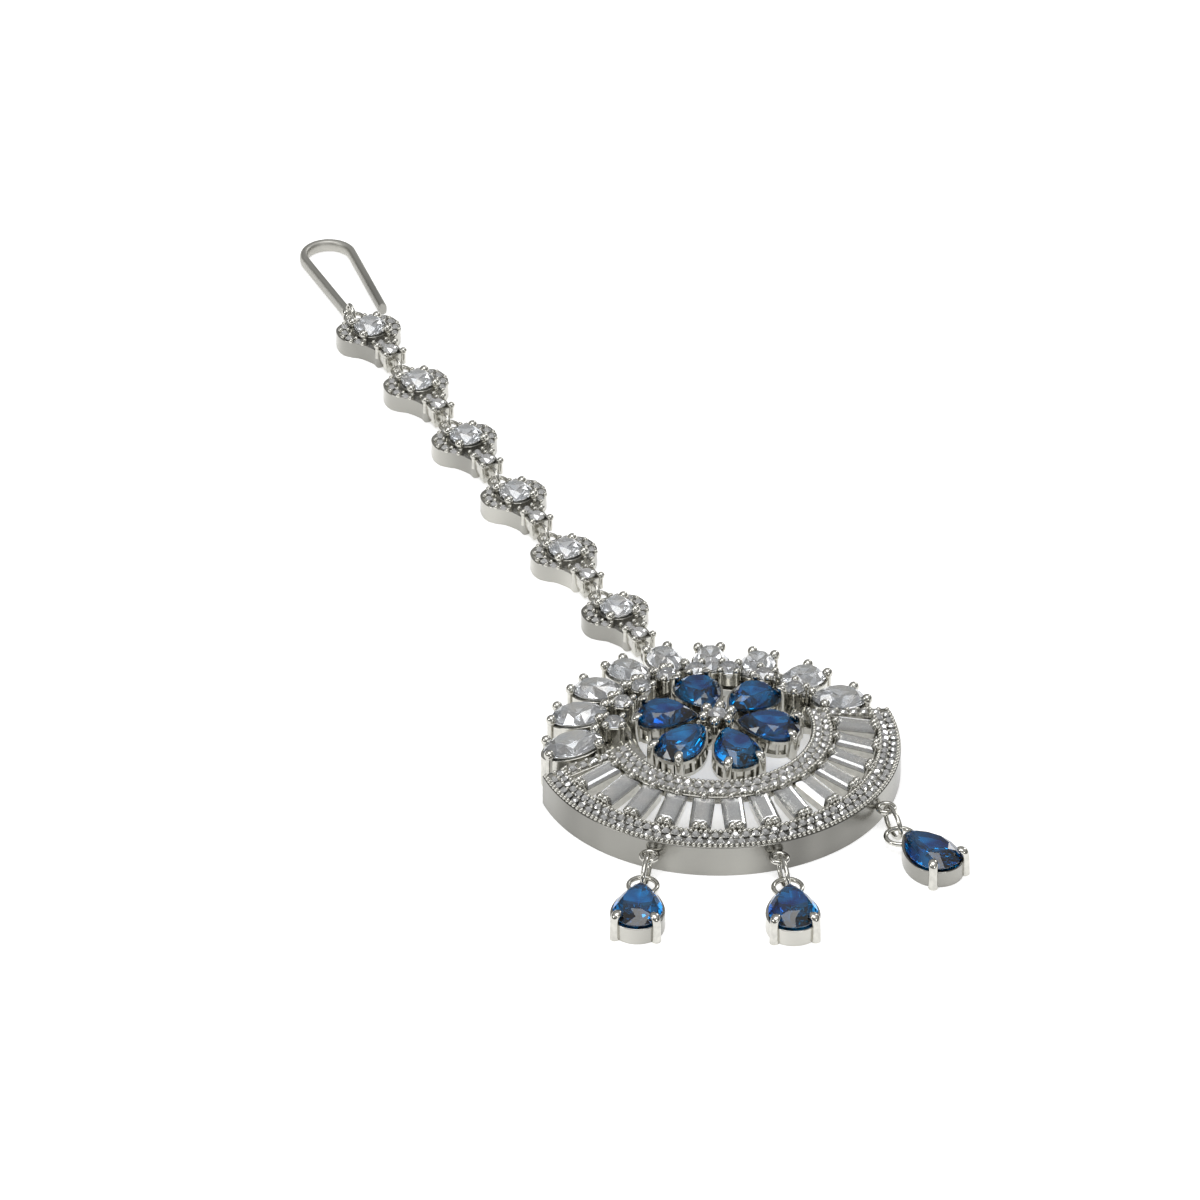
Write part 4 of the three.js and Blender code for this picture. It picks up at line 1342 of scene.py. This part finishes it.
class TIKKA_OT_links(TikkaOperator, bpy.types.Operator):
    """Make the chain's cluster links and their stones"""

    bl_idname = "tikka.links"
    bl_label = "Chain links"

    def execute(self, context):
        levels = brilliant_levels(LINK_STONE_CROWN, LINK_STONE_DEPTH)
        round_stone = cut_stone(round_outline(LINK_STONE_RADIUS), levels)
        small = cut_stone(round_outline(LINK_PAVE_RADIUS), small_levels(*LINK_PAVE_CUT))
        basket_stone = cut_stone(
            round_outline(BASKET_STONE_RADIUS), brilliant_levels(*BASKET_STONE_CUT))
        body = template(self.plate)
        fine = template(self.fine_work)
        cluster = self.cluster()
        for i in range(LINK_COUNT):
            place = link_place(i)
            metal_piece(filled(body, [place]), f"link_body_{i + 1}", [f"link_{i + 1}"], 35,
                        self.size("edge_rounding"), plate_rhodium())
            metal_piece(filled(fine, [place]), f"link_claws_{i + 1}", sharp=60)
            stone_piece(f"link_round_{i + 1}", round_stone, [place @ at(0, 0, LINK_GIRDLE)],
                        clear_stone(), [f"link_stone_{i + 1}"])
            bm = filled(basket_stone, [place @ at(0, -BASKET_ALONG, BASKET_HEIGHT)])
            scatter(bm, small, [place @ spot for spot in cluster])
            finish_piece(bm, f"link_cluster_{i + 1}", small_stone())
        bm = bmesh.new()
        wire_ring(bm, HINGE_RADIUS, CHAIN_EAR_HALF_LENGTH, HINGE_WIRE_RADIUS,
                  at(0, CHAIN_EAR_REACH, HINGE_HEIGHT))
        metal_piece(bm, "chain_ear", FRAME_NODE, 60)
        return {"FINISHED"}

    def plate(self, bm):
        outline, steps = plate_outline()

        def hole(u, v):
            x, y = outline(u, v)
            share = STONE_SEAT * LINK_STONE_RADIUS / math.hypot(x, y)
            return x * share, y * share
        raised_ring(bm, outline, hole, steps, 0.0, PLATE_THICKNESS)
        wall(bm, round_outline(LINK_STONE_RADIUS), 32, *LINK_COLLAR, PLATE_THICKNESS / 2,
             PLATE_THICKNESS + COLLAR_RISE)
        neck = LINK_EAR_ALONG - HINGE_RADIUS - PLATE_BACK + NECK_BITE
        size = Matrix.Diagonal((2 * NECK_HALF_WIDTH, neck, 2 * HINGE_WIRE_RADIUS, 1.0))
        bmesh.ops.create_cube(bm, size=1.0, matrix=at(0, PLATE_BACK, HINGE_HEIGHT) @ size)

    def fine_work(self, bm):
        """Claws, beads, the open basket and the two small rings."""
        basket = at(0, -BASKET_ALONG)
        corner = BASKET_HALF_WIDTH * math.sqrt(2)
        outline = round_outline(LINK_STONE_RADIUS)
        add_claws(bm, ball_claw(*LINK_CLAW), [at(0, 0)], outline, *LINK_CLAWS)
        post = ball_claw(*BASKET_CLAW)
        for angle in FOUR_CORNERS:
            turn = Matrix.Rotation(math.radians(angle), 4, "Z")
            scatter(bm, post, [basket @ turn @ at(0, BASKET_CLAW_SHARE * corner)])
        square = Matrix.Rotation(math.pi / 4, 4, "Z")
        loft(bm, [basket @ disc(height, share * corner) @ square
                  for height, share in BASKET_LEVELS], 4)
        scatter(bm, bead(LINK_BEAD_RADIUS), self.cluster_beads())
        for ring in (at(0, LINK_EAR_ALONG, HINGE_HEIGHT),
                     at(0, LINK_LOOP_ALONG, HINGE_HEIGHT) @ UPRIGHT):
            wire_ring(bm, HINGE_RADIUS, HINGE_RADIUS, HINGE_WIRE_RADIUS, ring)

    def on_plate(self, x, y):
        return at(x, y, PLATE_THICKNESS + LINK_PAVE_LIFT)

    def lobes(self, angles, *ovals):
        """Places on the plate's two lobes, on ovals round the main stone."""
        places = []
        for side in (1, -1):
            for angle in angles:
                turn = math.radians(angle)
                for wide, long in ovals:
                    along = long * math.cos(turn) + LOBE_SHIFT
                    places.append(self.on_plate(side * wide * math.sin(turn), along))
        return places

    def cluster(self):
        """Small stones of the two lobes and of the neck."""
        neck = [self.on_plate(0, along) for along in NECK_STONES]
        return self.lobes(LOBE_STONES, LOBE_STONE_OVAL) + neck

    def cluster_beads(self):
        neck = [self.on_plate(side * NECK_BEAD_SIDE, along)
                for side in (1, -1) for along in NECK_BEADS]
        return self.lobes(LOBE_BEADS, *LOBE_BEAD_OVALS) + neck


class TIKKA_OT_hook(TikkaOperator, bpy.types.Operator):
    """Bend the hair hook and set the eye on its foot"""

    bl_idname = "tikka.hook"
    bl_label = "Hair hook"

    def execute(self, context):
        place = chain_place(LINK_COUNT * LINK_PITCH) @ Matrix.Rotation(HOOK_YAW, 4, "Z")
        bm = bmesh.new()
        loft(bm, self.sections(), 24, rounded_square)
        bmesh.ops.transform(bm, matrix=place, verts=bm.verts)
        metal_piece(bm, "hook_wire", HOOK_NODE, 50, self.size("edge_rounding"), wire_rhodium())
        bm = bmesh.new()
        wire_ring(bm, HINGE_RADIUS, HINGE_RADIUS, HINGE_WIRE_RADIUS,
                  place @ at(0, HINGE_RADIUS, HINGE_HEIGHT) @ UPRIGHT)
        foot = at(0, 2 * HINGE_RADIUS + HOOK_CAP_LIFT, HOOK_HALF_HEIGHT)
        cap = place @ foot @ Matrix.Diagonal((*HOOK_CAP, 1.0))
        bmesh.ops.create_uvsphere(bm, u_segments=20, v_segments=12, radius=1.0, matrix=cap)
        metal_piece(bm, "hook_eye", HOOK_NODE, 60)
        return {"FINISHED"}

    def route(self):
        """The wire's middle: up one leg, round the bow and down the other leg."""
        centre = Vector((HOOK_FOOT_GAP / 2 + HOOK_BOW_SHIFT, HOOK_BOW_ALONG, 0.0))
        feet = (
            Vector((0.0, 2 * HINGE_RADIUS - HINGE_WIRE_RADIUS / 2, 0.0)),
            Vector((HOOK_FOOT_GAP, HOOK_FREE_FOOT, 0.0)),
        )
        turns = []
        for side, foot in zip((-1, 1), feet):
            away = foot - centre
            tangent = math.acos(HOOK_BOW_RADIUS / away.length)
            turns.append(math.atan2(away.y, away.x) + side * tangent)
        start, end = turns[0] + 2 * math.pi, turns[1]
        bow = []
        for i in range(BOW_STEPS + 1):
            angle = start + (end - start) * i / BOW_STEPS
            bow.append(centre + HOOK_BOW_RADIUS * Vector((math.cos(angle), math.sin(angle), 0.0)))
        left = [feet[0].lerp(bow[0], i / LEG_STEPS) for i in range(LEG_STEPS)]
        right = [bow[-1].lerp(feet[1], i / LEG_STEPS) for i in range(1, LEG_STEPS + 1)]
        return left + bow + right

    def sections(self):
        """Upright places of the wire's section, square to its route."""
        route = self.route()
        oval = Matrix.Diagonal((HOOK_HALF_HEIGHT, HOOK_HALF_WIDTH * HOOK_TRIM, 1.0, 1.0))
        rings = []
        for i, spot in enumerate(route):
            ahead = route[min(i + 1, len(route) - 1)] - route[max(i - 1, 0)]
            turn = Matrix.Rotation(math.atan2(ahead.y, ahead.x), 4, "Z")
            rings.append(at(spot.x, spot.y, HOOK_HALF_HEIGHT) @ turn @ UPRIGHT @ oval)
        return rings


class TIKKA_PT_panel(bpy.types.Panel):
    """Sizes, colours and lights, and a button for each group of pieces"""

    bl_label = "Maang Tikka"
    bl_idname = "TIKKA_PT_panel"
    bl_space_type = "VIEW_3D"
    bl_region_type = "UI"
    bl_category = "Maang Tikka"

    def draw(self, context):
        scene = context.scene
        for group in (scene.tikka_sizes, scene.tikka_finishes, scene.tikka_studio):
            box = self.layout.box()
            for name in group.__annotations__:
                box.prop(group, name)
        for operator in OPERATORS:
            self.layout.operator(operator.bl_idname)


OPERATORS = (
    TIKKA_OT_stage,
    TIKKA_OT_crescent,
    TIKKA_OT_pave,
    TIKKA_OT_baguettes,
    TIKKA_OT_arch,
    TIKKA_OT_rail,
    TIKKA_OT_flower,
    TIKKA_OT_drops,
    TIKKA_OT_links,
    TIKKA_OT_hook,
)
GROUPS = {"tikka_sizes": TikkaSizes, "tikka_finishes": TikkaFinishes, "tikka_studio": TikkaStudio}


def register():
    for group in GROUPS.values():
        bpy.utils.register_class(group)
    for name, group in GROUPS.items():
        setattr(bpy.types.Scene, name, PointerProperty(type=group))
    for operator in OPERATORS:
        bpy.utils.register_class(operator)
    bpy.utils.register_class(TIKKA_PT_panel)


def unregister():
    bpy.utils.unregister_class(TIKKA_PT_panel)
    for operator in reversed(OPERATORS):
        bpy.utils.unregister_class(operator)
    for name in GROUPS:
        delattr(bpy.types.Scene, name)
    for group in reversed(GROUPS.values()):
        bpy.utils.unregister_class(group)


def main():
    register()
    bpy.ops.tikka.stage()
    bpy.ops.tikka.crescent()
    bpy.ops.tikka.pave()
    bpy.ops.tikka.baguettes()
    bpy.ops.tikka.arch()
    bpy.ops.tikka.rail()
    bpy.ops.tikka.flower()
    bpy.ops.tikka.drops()
    bpy.ops.tikka.links()
    bpy.ops.tikka.hook()


if __name__ == "__main__":
    main()
